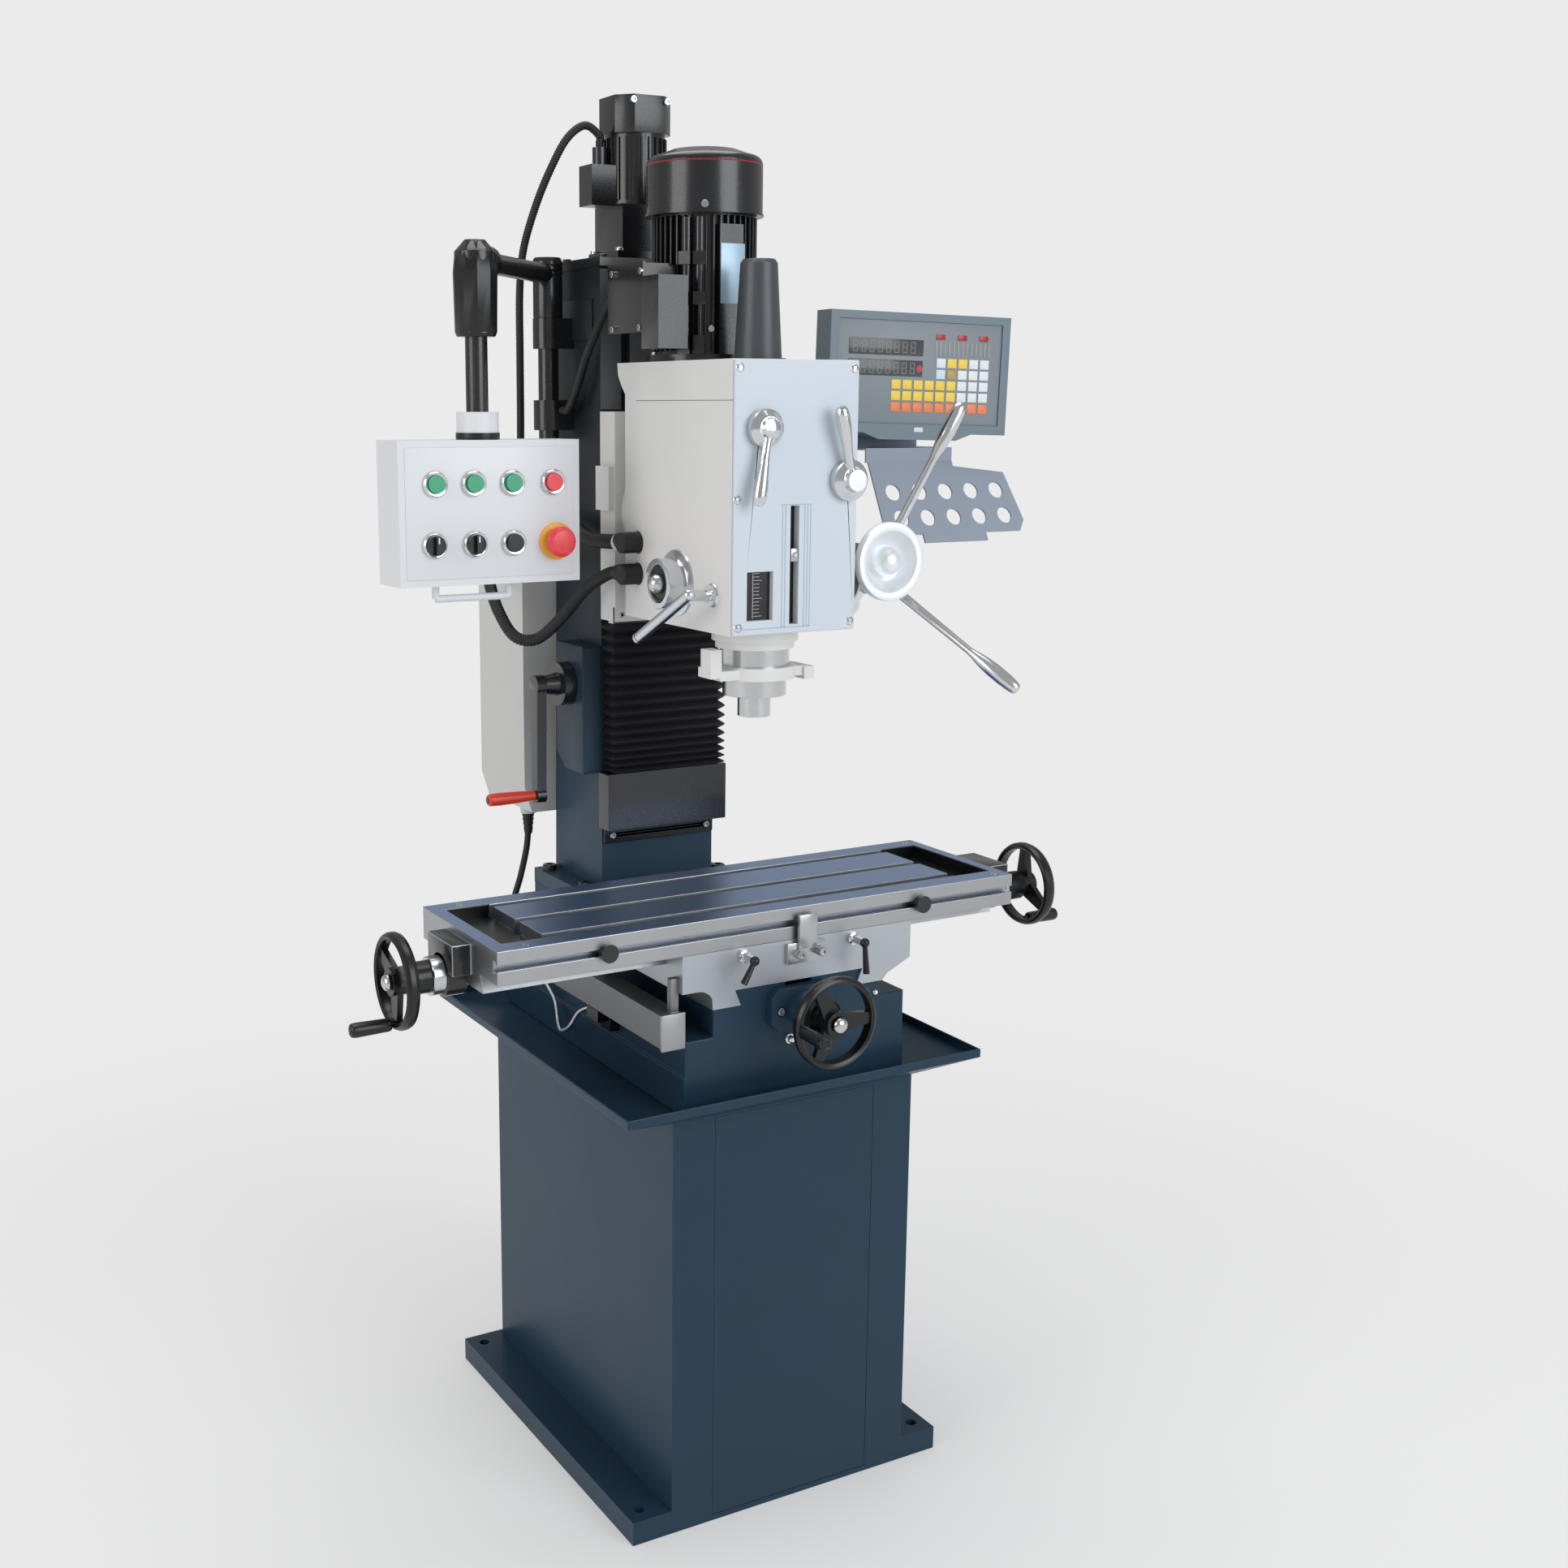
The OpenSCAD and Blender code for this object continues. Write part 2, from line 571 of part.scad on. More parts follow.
module motor_conduit() color("#222326") ribbed_hose(route(motor_conduit_route, 14), 6, 0.8, 4, [1, 0, 0]);

// Cross scale's reader with its armoured lead
scale_x0 = -max(base_w, saddle_w - 13) / 2 - 35;
reader_lead_route = [[scale_x0 + 15, -72, way_z - 52], [scale_x0 + 14, -60, way_z - 53],
  [scale_x0 + 6, -36, way_z - 67], [scale_x0 - 2, -20, way_z - 93], [scale_x0, 10, way_z - 107],
  [scale_x0 + 10, 40, way_z - 103], [scale_x0 + 20, 70, way_z - 83],
  [-base_w / 2 - 11, 110, way_z - 67], [-base_w / 2 - 8, 150, way_z - 61], [-base_w / 2 - 7, 178, way_z - 60]];
module y_scale_reader() color("#2a2c2f") {
  difference() {
    union() {
      block([scale_x0, -106, way_z - 61], [scale_x0 + 26, -72, way_z - 44]);
      block([-base_w / 2 - 14, -104, way_z - 78], [-base_w / 2, -74, way_z - 50]);
      block([scale_x0 + 10, -104, way_z - 61], [-base_w / 2, -74, way_z - 50]);
    }
  }
  p = route(reader_lead_route, 4);
  tube(p, [for (q = p) 2.5], 8, [0.9, 0.1, 0.4]);
  block([-base_w / 2 - 14, 178, way_z - 68], [-base_w / 2, 196, way_z - 52]);
}

// Mains lead, its coil behind the stand and its plug
lead_r = 5;
coil_x = 60;
coil_y = 425;
coil_pitch = 10.8;
coil_turns = 2;
coil_r = 58;
lead_route = [[-123, 300, 892], [-123, 300, 870], [-126, 301, 835], [-136, 303, 790], [-148, 308, 740], [-152, 314, 650],
  [-150, 318, 500], [-146, 322, 350], [-144, 326, 200], [-142, 332, 90], [-136, 342, 28], [-118, 354, 7],
  [-90, 362, 5.2], [-40, 366, 5.2], [10, 367, 5.2], [40, 367, 5.2], [60, 367, 5.2]];
module mains_lead() color("#151618") {
  p = route(lead_route, 4);
  tube(p, [for (q = p) lead_r], 8, [0.3, 0.8, 0.5]);
}
// Radius and height of the coil after so many degrees of winding
coil_end = 720 * coil_turns + 180;
function coil_in(a) = coil_r - coil_pitch * a / 360;
function coil_radius(a) = a < 360 * coil_turns ? coil_in(a)
  : a < 360 * coil_turns + 180 ? coil_in(360 * coil_turns) : coil_r - coil_pitch * (coil_end - a) / 360;
function coil_height(a) = let(u = (a - 360 * coil_turns) / 180, low = lead_r + 0.2)
  low + (u <= 0 ? 0 : u >= 1 ? 1 : (1 - cos(180 * u)) / 2) * (2 * lead_r + 0.9);
function coil_point(a) = [coil_x + coil_radius(a) * sin(a), coil_y - coil_radius(a) * cos(a), coil_height(a)];
coil_path = concat([[coil_x, coil_y - coil_r, lead_r + 0.2], [coil_x + 2, coil_y - coil_r, lead_r + 0.2]],
  [for (a = [7.5 : 15 : coil_end]) coil_point(a)],
  [[coil_x - 4, coil_y + coil_r + 0.2, coil_height(coil_end)],
     [coil_x - 14, coil_y + coil_r + 0.2, coil_height(coil_end)]]);
coil_gap = min([for (i = [0 : len(coil_path) - 1], j = [i + 12 : len(coil_path) - 1])
  norm(coil_path[i] - coil_path[j])]) - 2 * lead_r;
echo(coil_least_gap = coil_gap);
module mains_coil() color("#151618") tube(coil_path, [for (q = coil_path) lead_r], 6, [0, 0, 1]);
plug_x = coil_x - 14;
plug_y = coil_y + coil_r + 0.2;
plug_z = coil_height(coil_end);
module mains_plug() color("#151618") translate([plug_x, plug_y, plug_z]) rotate([0, -90, 0]) {
  cylinder(r1 = 6, r2 = 9, h = 26);
  translate([0, 0, 26]) cylinder(r1 = 9, r2 = 15.8, h = 10);
  translate([0, 0, 36]) cylinder(r = 15.8, h = 22);
  for (y = [-9.5, 9.5]) translate([0, y, 57]) cylinder(r = 2.4, h = 20);
}

// Lift screw in the column with its bevel gear, and the crank that turns it
module lift_screw() color("#a9abad") {
  rod_z(screw_r, column_body_z + 30, column_top - 6, 0, lift_y);
  rod_z(journal_r, column_top - 6, top_plate_z - 5, 0, lift_y);
  translate([0, lift_y, crank_z - 30]) cylinder(r1 = 29.5, r2 = 17.5, h = 12);
}
module z_crank() color("#1d1f22") {
  rod_x(journal_r, -column_w / 2 - 33, -28, lift_y, crank_z);
  translate([-30, lift_y, crank_z]) rotate([0, 90, 0]) cylinder(r1 = 29.5, r2 = 17.5, h = 12);
  rod_x(32, -column_w / 2 - 50, -column_w / 2 - 31.5, lift_y, crank_z);
  cone_x(13, 17, -column_w / 2 - 72, -column_w / 2 - 50, lift_y, crank_z);
  difference() {
    along_x(-column_w / 2 - 87, -column_w / 2 - 72) union() {
      translate([lift_y, crank_z]) circle(r = 15);
      translate([lift_y, crank_z - 164]) circle(r = 12);
      polygon([[lift_y - 13, crank_z], [lift_y + 13, crank_z], [lift_y + 9, crank_z - 164], [lift_y - 9, crank_z - 164]]);
    }
  }
  rod_x(4, -column_w / 2 - 164, -column_w / 2 - 86, lift_y, crank_z - 164);
}
module z_crank_grip() color("#d8402f") difference() {
  translate([-column_w / 2 - 163, lift_y, crank_z - 164]) rotate([0, 90, 0]) rotate_extrude()
    polygon([[0, 0], [7, 0], [9, 3], [9.5, 20], [8.5, 50], [7, 72], [7, 75.5], [0, 75.5]]);
  rod_x(4 + fit, -column_w / 2 - 165, -column_w / 2 - 80, lift_y, crank_z - 164);
}

// Saddle: two sets of dovetails, both nuts, and the stop tab on its front
function arc(cx, cy, r, a0, a1, n) = [for (i = [0 : n])
  [cx + r * cos(a0 + (a1 - a0) * i / n), cy + r * sin(a0 + (a1 - a0) * i / n)]];
module saddle() {
  w = saddle_w / 2;
  f = saddle_foot_w / 2;
  color("#9b9b9a") difference() {
    union() {
      difference() {
        along_y(saddle_y0, saddle_y1) polygon(concat([[-w, saddle_top], [-w, way_z + 28]],
          arc(-w + 24, way_z + 4, 24, 90, 30, 5),
          [[-f, way_z], [f, way_z], [f + 8, way_z + 9], [w, way_z + 27], [w, saddle_top]]));
        along_y(saddle_y0 - 1, saddle_y1 + 1) dove(base_dove_w / 2 + slide_gap, base_dove_w / 2 + dove_lean + slide_gap,
          way_z - slide_gap, dove_z + slide_gap);
        along_x(-w - 1, w + 1) dove(table_dove_w / 2 + slide_gap, table_dove_w / 2 - dove_lean + slide_gap,
          table_z - table_dove_h - slide_gap, saddle_top + 0.5, x_screw_y);
        block([-w - 1, x_screw_y - 20, x_screw_z - 22], [w + 1, x_screw_y + 20, x_screw_z]);
      }
      block([-22, x_screw_y - 17, x_screw_z - 23], [22, x_screw_y + 17, table_z - 4]);
      block([-15, x_screw_y - 25, y_screw_z - 14], [15, x_screw_y + 25, dove_z + 6]);
    }
    rod_x(screw_r + fit, -23, 23, x_screw_y, x_screw_z);
    rod_y(screw_r + fit, x_screw_y - 26, x_screw_y + 26, 0, y_screw_z);
    for (x = [-90, 84]) rod_y(4 + fit, saddle_y0 - 1, saddle_y0 + 22, x, saddle_top - 11);
  }
  color("#c9cacb") {
    block([-24, saddle_y0 - 6, saddle_top - 32], [35, saddle_y0, saddle_top - 4]);
    block([-9, saddle_y0 - 11, saddle_top - 12], [19, saddle_y0 - 6, saddle_top + 34]);
    for (x = [-9, 25]) rod_y(6.5, saddle_y0 - 14, saddle_y0 - 6, x, saddle_top - 18);
  }
}
module y_scale() color("#b9babb") {
  block([scale_x0, saddle_y0 + 4, way_z - 43], [scale_x0 + 32, saddle_y0 + 334, way_z + 2]);
  block([scale_x0 - 2, saddle_y0, way_z - 45], [scale_x0 + 33, saddle_y0 + 4, way_z + 4]);
  block([scale_x0 + 17, saddle_y0 + 10, way_z + 2], [-saddle_w / 2, saddle_y0 + 20, way_z + 48]);
  block([scale_x0 + 17, saddle_y1 - 40, way_z + 2], [-saddle_w / 2, saddle_y1 - 10, way_z + 48]);
}
module lock_lever(x, dx, dz) {
  z = saddle_top - 11;
  rod_y(4, saddle_y0 - 29, saddle_y0 + 20, x, z);
  translate([x, saddle_y0 - 29, z]) sphere(r = 6.5);
  rod([x, saddle_y0 - 29, z], [x + dx, saddle_y0 - 33, z + dz], 3.2, 4.6);
}
module saddle_lock_lever_left() color("#1d1f22") lock_lever(-90, -19, -27);
module saddle_lock_lever_right() color("#1d1f22") lock_lever(84, 1, -42);

// Handwheels: rounded rim, three flat spokes, hub
module wheel() {
  rotate_extrude() polygon([[wheel_r - 9, -7], [wheel_r - 5, -9], [wheel_r - 2, -7.5], [wheel_r, -3], [wheel_r, 3],
    [wheel_r - 2, 7.5], [wheel_r - 5, 9], [wheel_r - 9, 7]]);
  for (a = [0, 120, 240]) rotate([0, 0, a]) translate([0, 0, -4]) linear_extrude(8)
    polygon([[0, -15], [wheel_r - 8, -7], [wheel_r - 8, 7], [0, 15]]);
  translate([0, 0, -10]) cylinder(r = 18, h = 24);
}
module wheel_grip() difference() {
  rotate_extrude() polygon([[0, 0], [7, 0], [8.6, 3], [9.6, wheel_grip_l - 8], [9, wheel_grip_l - 2],
    [7, wheel_grip_l], [0, wheel_grip_l]]);
  translate([0, 0, -1]) cylinder(r = 4 + fit, h = wheel_grip_l + 2);
}
// Cross screw with dial and wheel; the wheel stands in front of the bracket
y_wheel_y = front_y - 87;
y_grip = [-38 * grip_offset / 55.5, 0, -2];
y_grip_a = 181;
module y_handwheel() {
  color("#9b9b9a") {
    rod_y(screw_r, front_y + 14, 30, 0, y_screw_z);
    rod_y(journal_r, y_wheel_y - 14, front_y + 14, 0, y_screw_z);
    difference() {
      rod_y(dial_d / 2, y_wheel_y + 22, front_y - 34.5, 0, y_screw_z);
      rod_y(journal_r, y_wheel_y + 21, front_y - 34, 0, y_screw_z);
    }
  }
  color("#141517") difference() {
    union() {
      translate([0, y_wheel_y, y_screw_z]) rotate([-90, 0, 0]) wheel();
      rod_y(4, y_wheel_y - wheel_grip_l - 9, y_wheel_y - 3,
        grip_offset * cos(y_grip_a), y_screw_z + grip_offset * sin(y_grip_a));
      rod_y(dial_d / 2 - 4, y_wheel_y + 14, y_wheel_y + 21.9, 0, y_screw_z);
    }
    rod_y(journal_r, y_wheel_y - 11, y_wheel_y + 23, 0, y_screw_z);
  }
}
module y_handwheel_grip() color("#141517")
  translate([grip_offset * cos(y_grip_a), y_wheel_y - 9.3, y_screw_z + grip_offset * sin(y_grip_a)])
    rotate([90, 0, 0]) wheel_grip();

// Table with tee slots, troughs and a dovetail; end brackets carry the long screw
module table() {
  trough_x0 = table_x0 + 20;
  trough_x1 = table_x1 - 16;
  color("#8f9092") difference() {
    union() {
      block([table_x0, saddle_y0, table_z], [table_x1, saddle_y1, table_top]);
      along_x(table_x0, table_x1)
        dove(table_dove_w / 2, table_dove_w / 2 - dove_lean, table_z - table_dove_h, table_z + 0.01, x_screw_y);
    }
    block([table_x0 - 1, x_screw_y - 20, table_z - table_dove_h - 1], [table_x1 + 1, x_screw_y + 20, table_z]);
    for (x = [trough_x0, trough_x1 - trough_l])
      block([x, saddle_y0 + 31, table_top - trough_h], [x + trough_l, saddle_y1 - 29, table_top + 1]);
    for (k = [-1 : 1]) {
      y = x_screw_y + k * slot_pitch;
      block([trough_x0 + 1, y - slot_w / 2, table_top - 24], [trough_x1 - 1, y + slot_w / 2, table_top + 1]);
      block([trough_x0 + 1, y - slot_w / 2 - 5, table_top - 24], [trough_x1 - 1, y + slot_w / 2 + 5, table_top - 14]);
    }
    block([table_x0 - 1, saddle_y0 - 1, table_z + 18], [table_x1 + 1, saddle_y0 + 6, table_z + 26.6]);
    block([table_x0 - 1, saddle_y0 + 5, table_z + 14], [table_x1 + 1, saddle_y0 + 12, table_z + 30.6]);
  }
  color("#b9babb") block([table_x0 + 34, saddle_y1, table_z + 14], [table_x1 - 81, saddle_y1 + 10, table_z + 40]);
  color("#26292d") for (s = [[table_x0 - 26, table_x0], [table_x1, table_x1 + 59]]) difference() {
    union() {
      block([s[0], x_screw_y - 40, table_z - 6], [s[1], x_screw_y + 40, table_z + 34]);
      rod_x(28, s[0], s[1], x_screw_y, x_screw_z);
    }
    rod_x(journal_r + fit, s[0] - 1, s[1] + 1, x_screw_y, x_screw_z);
  }
}
x_wheel_left = table_x0 - 85;
x_wheel_right = table_x1 + 125;
x_grip_angle = -90;
module x_handwheels() {
  color("#9b9b9a") {
    rod_x(screw_r, table_x0 + 1, table_x1 - 1, x_screw_y, x_screw_z);
    rod_x(journal_r, x_wheel_left - 14, table_x0 + 1, x_screw_y, x_screw_z);
    rod_x(journal_r, table_x1 - 1, x_wheel_right + 14, x_screw_y, x_screw_z);
  }
  color("#141517") for (s = [-1, 1]) {
    x = s < 0 ? x_wheel_left : x_wheel_right;
    x0 = s < 0 ? x + 14 : table_x1 + 59.5;
    x1 = s < 0 ? table_x0 - 26.5 : x - 14;
    difference() {
      union() {
        translate([x, x_screw_y, x_screw_z]) rotate([0, -s * 90, 0]) wheel();
        rod_x(21, x0, x1, x_screw_y, x_screw_z);
        rod_x(dial_d / 2, s < 0 ? x1 - 16 : x0, s < 0 ? x1 : x0 + 16, x_screw_y, x_screw_z);
        rod_x(4, s < 0 ? x - wheel_grip_l - 10 : x + 3, s < 0 ? x - 3 : x + wheel_grip_l + 10,
          x_screw_y, x_screw_z - grip_offset);
      }
      rod_x(journal_r, x - 15, x + 15, x_screw_y, x_screw_z);
      rod_x(journal_r, x0 - 1, x1 + 1, x_screw_y, x_screw_z);
    }
  }
}
module x_handwheel_grip_left() color("#141517")
  translate([x_wheel_left - 9.3, x_screw_y, x_screw_z - grip_offset]) rotate([0, -90, 0]) wheel_grip();
module x_handwheel_grip_right() color("#141517")
  translate([x_wheel_right + 9.3, x_screw_y, x_screw_z - grip_offset]) rotate([0, 90, 0]) wheel_grip();

module stop_dog(x) color("#1d1f22") {
  z = table_z + 22.3;
  rod_y(12, saddle_y0 - 9.3, saddle_y0 - seat_gap, x, z);
  block([x - 8, saddle_y0 - 1, z - 4], [x + 8, saddle_y0 + 6, z + 4]);
  block([x - 8, saddle_y0 + 6, z - 7], [x + 8, saddle_y0 + 11, z + 7]);
}
module stop_dog_left() stop_dog(-291);
module stop_dog_right() stop_dog(197);

// Head slide on the column's ways
module head_slide() color("#d2d1d0") difference() {
  union() {
    block([-95, slide_y0, slide_z0], [95, way_y - slide_gap, slide_z1]);
    rod_y(85, tilt_y, slide_y0 + 1, 0, tilt_z);
    rod_y(25, head_rear + 4, tilt_y + 1, 0, tilt_z);
    block([-17, way_y - 25, tilt_z - 25], [17, lift_y + 17, tilt_z + 25]);
    block([-103, slide_y0 + 4, tilt_z + 3], [-95, way_y - 1, tilt_z + 65]);
    block([-96, slide_y0 + 3, slide_z0 - 2.7], [96, way_y - 26, slide_z0]);
  }
  difference() {
    along_z(slide_z0 - 3, slide_z1 + 1) polygon([[-column_dove_w / 2 - slide_gap, way_y + 1],
      [column_dove_w / 2 + slide_gap, way_y + 1],
      [column_dove_w / 2 + dove_lean + slide_gap, way_y - column_dove_h - slide_gap],
      [-column_dove_w / 2 - dove_lean - slide_gap, way_y - column_dove_h - slide_gap]]);
    block([-17, way_y - 30, tilt_z - 25], [17, way_y + 2, tilt_z + 25]);
  }
  rod_z(screw_r + fit, tilt_z - 26, tilt_z + 26, 0, lift_y);
}

// Head casting: hollow, with the quill's sleeve, the feed shaft's bores and the return spring drum
module head_housing() {
  color("#d2d1d0") difference() {
    union() {
      difference() {
        along_x(-head_x, head_x) polygon([[head_y0 + face_t, head_z], [head_rear, head_z], [head_rear, head_top - 42],
          [head_rear + 8, head_top - 34], [head_rear + 20, head_top - 18], [head_rear + 23, head_top],
          [head_y0 + face_t, head_top]]);
        block([head_wall - head_x, head_y0 + 18, head_z + head_wall],
          [head_x - head_wall, head_rear - 16, head_top - head_wall]);
      }
      rod_y(tilt_flange_d / 2, head_rear - 1, tilt_y, 0, tilt_z);
      rod_z(quill_d / 2 + 21, boss_z + 10, head_top - head_wall + 1, 0, spindle_y);
      rod_z(53.5, boss_z, head_z + 1, 0, spindle_y);
    }
    rod_y(25 + fit, head_rear - 17, tilt_y + 1, 0, tilt_z);
    rod_z(quill_d / 2 + fit, boss_z - 1, head_top - head_wall - 30, 0, spindle_y);
    rod_z(collar_d / 2 + fit, boss_z - 1, boss_z + 27, 0, spindle_y);
    rod_z(24, head_top - head_wall - 31, head_top + 1, 0, spindle_y);
    rod_x(feed_shaft_r + fit, -head_x - 1, head_x + 1, feed_y, feed_z);
    rod_x(17, -14, 14, feed_y, feed_z);
    rod_x(7 + fit, -head_x - 1, -head_x + 30, spindle_y - 46, feed_z - 9);
    block([-8, head_y0, head_z + 12], [5, spindle_y - 40, head_z + 165]);
    block([-73, head_y0, head_z + 19], [-34, spindle_y - 70, head_z + 82]);
    for (p = speed_shafts) rod_y(7 + fit, head_y0, head_y0 + 40, p.x, p.y);
  }
  color("#b5b6b8") difference() {
    rod_x(33, -head_x - 30, -head_x, feed_y, feed_z);
    rod_x(26, -head_x - 31, -head_x - 24, feed_y, feed_z);
    rod_x(feed_shaft_r + 1, -head_x - 25, -head_x + 1, feed_y, feed_z);
  }
  color("#4a4d51") difference() {
    union() {
      rod_x(42, head_x, head_x + 82, feed_y, feed_z);
      rod_x(50, head_x, head_x + 14, feed_y, feed_z);
      rod_y(20, spindle_y + 8, feed_y + 20, 192, feed_z + 23);
      block([head_x + 40, feed_y - 14, feed_z + 5], [192, feed_y + 14, feed_z + 40]);
    }
    rod_x(feed_shaft_r + fit, head_x - 1, head_x + 120, feed_y, feed_z);
    rod_y(6 + fit, spindle_y, feed_y - 16, 192, feed_z + 23);
  }
  color("#1c1d20") {
    translate([-head_x, -11, 1333]) rotate([0, -90, 0]) difference() {
      cylinder(r = 13.5, h = 26);
      translate([0, 0, -1]) cylinder(r = 5, h = 20);
    }
    rod_y(12.5, -11, 19.7, -head_x - 14, 1332);
    rod_y(12, -11, 15.7, -head_x - 13, 1289);
    rod_x(13.5, -head_x - 26, -head_x, -11, 1289.5);
  }
}
speed_shafts = [[-52, tilt_z + 121], [77.5, tilt_z + 54]];

module head_front_panel() color("#d5dee6") difference() {
  block([-head_x + 1, head_y0, head_z + 1], [head_x - 1, head_y0 + face_t, head_top - 1]);
  block([-8, head_y0 - 1, head_z + 12], [5, head_y0 + face_t + 1, head_z + 165]);
  block([-73, head_y0 - 1, head_z + 19], [-34, head_y0 + face_t + 1, head_z + 82]);
  for (p = speed_shafts) rod_y(7 + fit, head_y0 - 1, head_y0 + face_t + 1, p.x, p.y);
}

// Main motor: flange, ribbed body, clamp strips, cowl with domed top, terminal box
// One clamped bar along the motor, with its two straps and its foot
module motor_bar() {
  r = motor_d / 2 + 2;
  rod_z(6.6, motor_z, cowl_z - 6, 0, motor_y - r);
  for (z = [64, 116]) block([-8.2, motor_y - r - 9.5, motor_z + z], [8.2, motor_y - r + 5, motor_z + z + 17]);
  block([-8, motor_y - r - 10, motor_z], [8, motor_y - r + 7, motor_z + 24.5]);
}

module main_motor() {
  color("#17181a") difference() {
    union() {
      rod_z(79, head_top, motor_z, 0, motor_y);
      rod_z(motor_d / 2 - 9, motor_z, cowl_z, 0, motor_y);
      for (k = [0 : motor_ribs - 1]) rotate_about(0, motor_y, (k + 0.5) * 360 / motor_ribs)
        block([motor_d / 2 - 10, motor_y - 1.1, motor_z + 6], [motor_d / 2, motor_y + 1.1, cowl_z - 2]);
      block([-18, motor_y - motor_d / 2 - 1, motor_z], [18, motor_y - motor_d / 2 + 12, cowl_z - 14]);
      for (a = [-49, -35]) rotate_about(0, motor_y, a) motor_bar();
    }
  }
  color("#17181a") translate([0, motor_y, cowl_z]) rotate_extrude() polygon(concat([[0, 0], [cowl_d / 2, 0],
    [cowl_d / 2, cowl_h]], arc(cowl_d / 2 - 12, cowl_h + 2, 12, 0, 90, 5),
    [[cowl_d / 2 - 34, cowl_h + 22], [0, cowl_h + 24]]));
  color("#17181a") {
    block([-112, motor_y - 36, motor_z + 30], [-motor_d / 2 + 6, motor_y + 60, motor_z + 118]);
    block([-116, motor_y - 38, motor_z + 28], [-112, motor_y + 62, motor_z + 120]);
    block([-118, motor_y - 84, motor_z + 6], [-motor_d / 2 - 2, motor_y - 38, motor_z + 100]);
    block([-108, motor_y + 58, motor_z + 66], [-92, motor_y + 61.7, motor_z + 84]);
  }
}

module spindle_cap() color("#1d1f22") translate([0, spindle_y, 0]) difference() {
  union() {
    rod_z(37, head_top, head_top + 3, 0, 0);
    translate([0, 0, head_top + 3]) cylinder(r1 = 31.3, r2 = 24.5, h = 121);
    translate([0, 0, head_top + 124]) cylinder(r1 = 24.5, r2 = 21, h = 5);
  }
  rod_z(18, head_top - 1, head_top + 122, 0, 0);
}

// Quill with its rack flat, ground collar and bearing cap
module quill() color("#c4c6c8") difference() {
  union() {
    rod_z(quill_d / 2, collar_z, head_top - head_wall - 60, 0, spindle_y);
    rod_z(collar_d / 2, collar_z - 0.5, boss_z, 0, spindle_y);
    rod_z(quill_d / 2, plate_z - 2, collar_z, 0, spindle_y);
    rod_z(cap_ring_d / 2, cap_ring_z, plate_z, 0, spindle_y);
  }
  rod_z(20 + fit, cap_ring_z - 1, head_top, 0, spindle_y);
  block([-18, spindle_y + quill_d / 2 - 7.5, boss_z + 2], [18, spindle_y + quill_d / 2 + 1, head_top]);
}
module quill_stop_plate() color("#d2d1d0") difference() {
  union() {
    rod_z(56, plate_z, plate_z + stop_plate_t, 0, spindle_y);
    block([-74, spindle_y - 34, plate_z + 2], [66, spindle_y + 24, plate_z + stop_plate_t - 2]);
    block([56, spindle_y - 38, plate_z - 3], [72, spindle_y + 12, plate_z + 14]);
    block([-89, spindle_y - 34, plate_z + 6], [-72, spindle_y - 8, plate_z + 44]);
  }
  rod_z(quill_d / 2, plate_z - 4, collar_z - 0.5, 0, spindle_y);
  rod_z(collar_d / 2, collar_z - 0.5, plate_z + 50, 0, spindle_y);
}
module spindle() color("#c9cbcd") difference() {
  union() {
    rod_z(nose_d / 2, nose_z, cap_ring_z - seat_gap, 0, spindle_y);
    rod_z(20, cap_ring_z - seat_gap - 1, head_top - 70, 0, spindle_y);
    rod_z(15, head_top - 71, head_top + 60, 0, spindle_y);
  }
  translate([0, spindle_y, nose_z - 0.01]) cylinder(r1 = taper_d / 2, r2 = 12.2, h = 88);
  rod_z(7, nose_z + 80, head_top + 61, 0, spindle_y);
}

// Feed hub: cross shaft with pinion, hub and leaning handles
feed_apex = 227.4;
function feed_dir(k) = [sin(feed_lean), cos(feed_lean) * cos(99.8 + k * 360 / feed_handles),
  cos(feed_lean) * sin(99.8 + k * 360 / feed_handles)];
module feed_hub() color("#b9bbbd") {
  rod_x(feed_shaft_r, -head_x - 26, head_x + 120, feed_y, feed_z);
  rod_x(15.6, -12, 12, feed_y, feed_z);
  rod_x(22, -head_x - 30, -head_x - 24.4, feed_y, feed_z);
  translate([-head_x - 30, feed_y, feed_z]) rotate([0, -90, 0]) cylinder(r1 = 12, r2 = 8, h = 7);
  rod_x(30, feed_apex - 15, feed_apex + 16, feed_y, feed_z);
  translate([feed_apex + 16, feed_y, feed_z]) rotate([0, 90, 0]) cylinder(r1 = 30, r2 = 20, h = 8);
  for (k = [0 : feed_handles - 1]) {
    d = feed_dir(k);
    o = [feed_apex, feed_y, feed_z];
    rod(o + 12 * d, o + 182 * d, 6.5, 5.5);
    translate(o) rotate([0, acos(d.z), atan2(d.y, d.x)]) rotate_extrude() polygon([[0, 176], [5.8, 176], [8, 190], [10.6, 205],
      [11, 220], [10.4, 250], [9, 262], [6, feed_handle_l], [0, feed_handle_l]]);
  }
}
// Fine feed wheel: a deep dish with a domed hub
module fine_feed_wheel() color("#c3c5c7") translate([192, -200, feed_z + 23]) rotate([90, 0, 0]) {
  difference() {
    rotate_extrude() polygon([[0, -20], [20, -20], [36, -14], [fine_wheel_d / 2, 0], [fine_wheel_d / 2, 10],
      [fine_wheel_d / 2 - 3, 12], [fine_wheel_d / 2 - 11, 12], [fine_wheel_d / 2 - 14, 9], [30, -8], [0, -10]]);
  }
  translate([0, 0, -12]) cylinder(r = 16, h = 14);
  translate([0, 0, 2]) rotate_extrude() polygon(concat([[0, 0]], arc(0, 0, 16, 0, 90, 6)));
  translate([0, 0, -61]) cylinder(r = 6, h = 45);
}

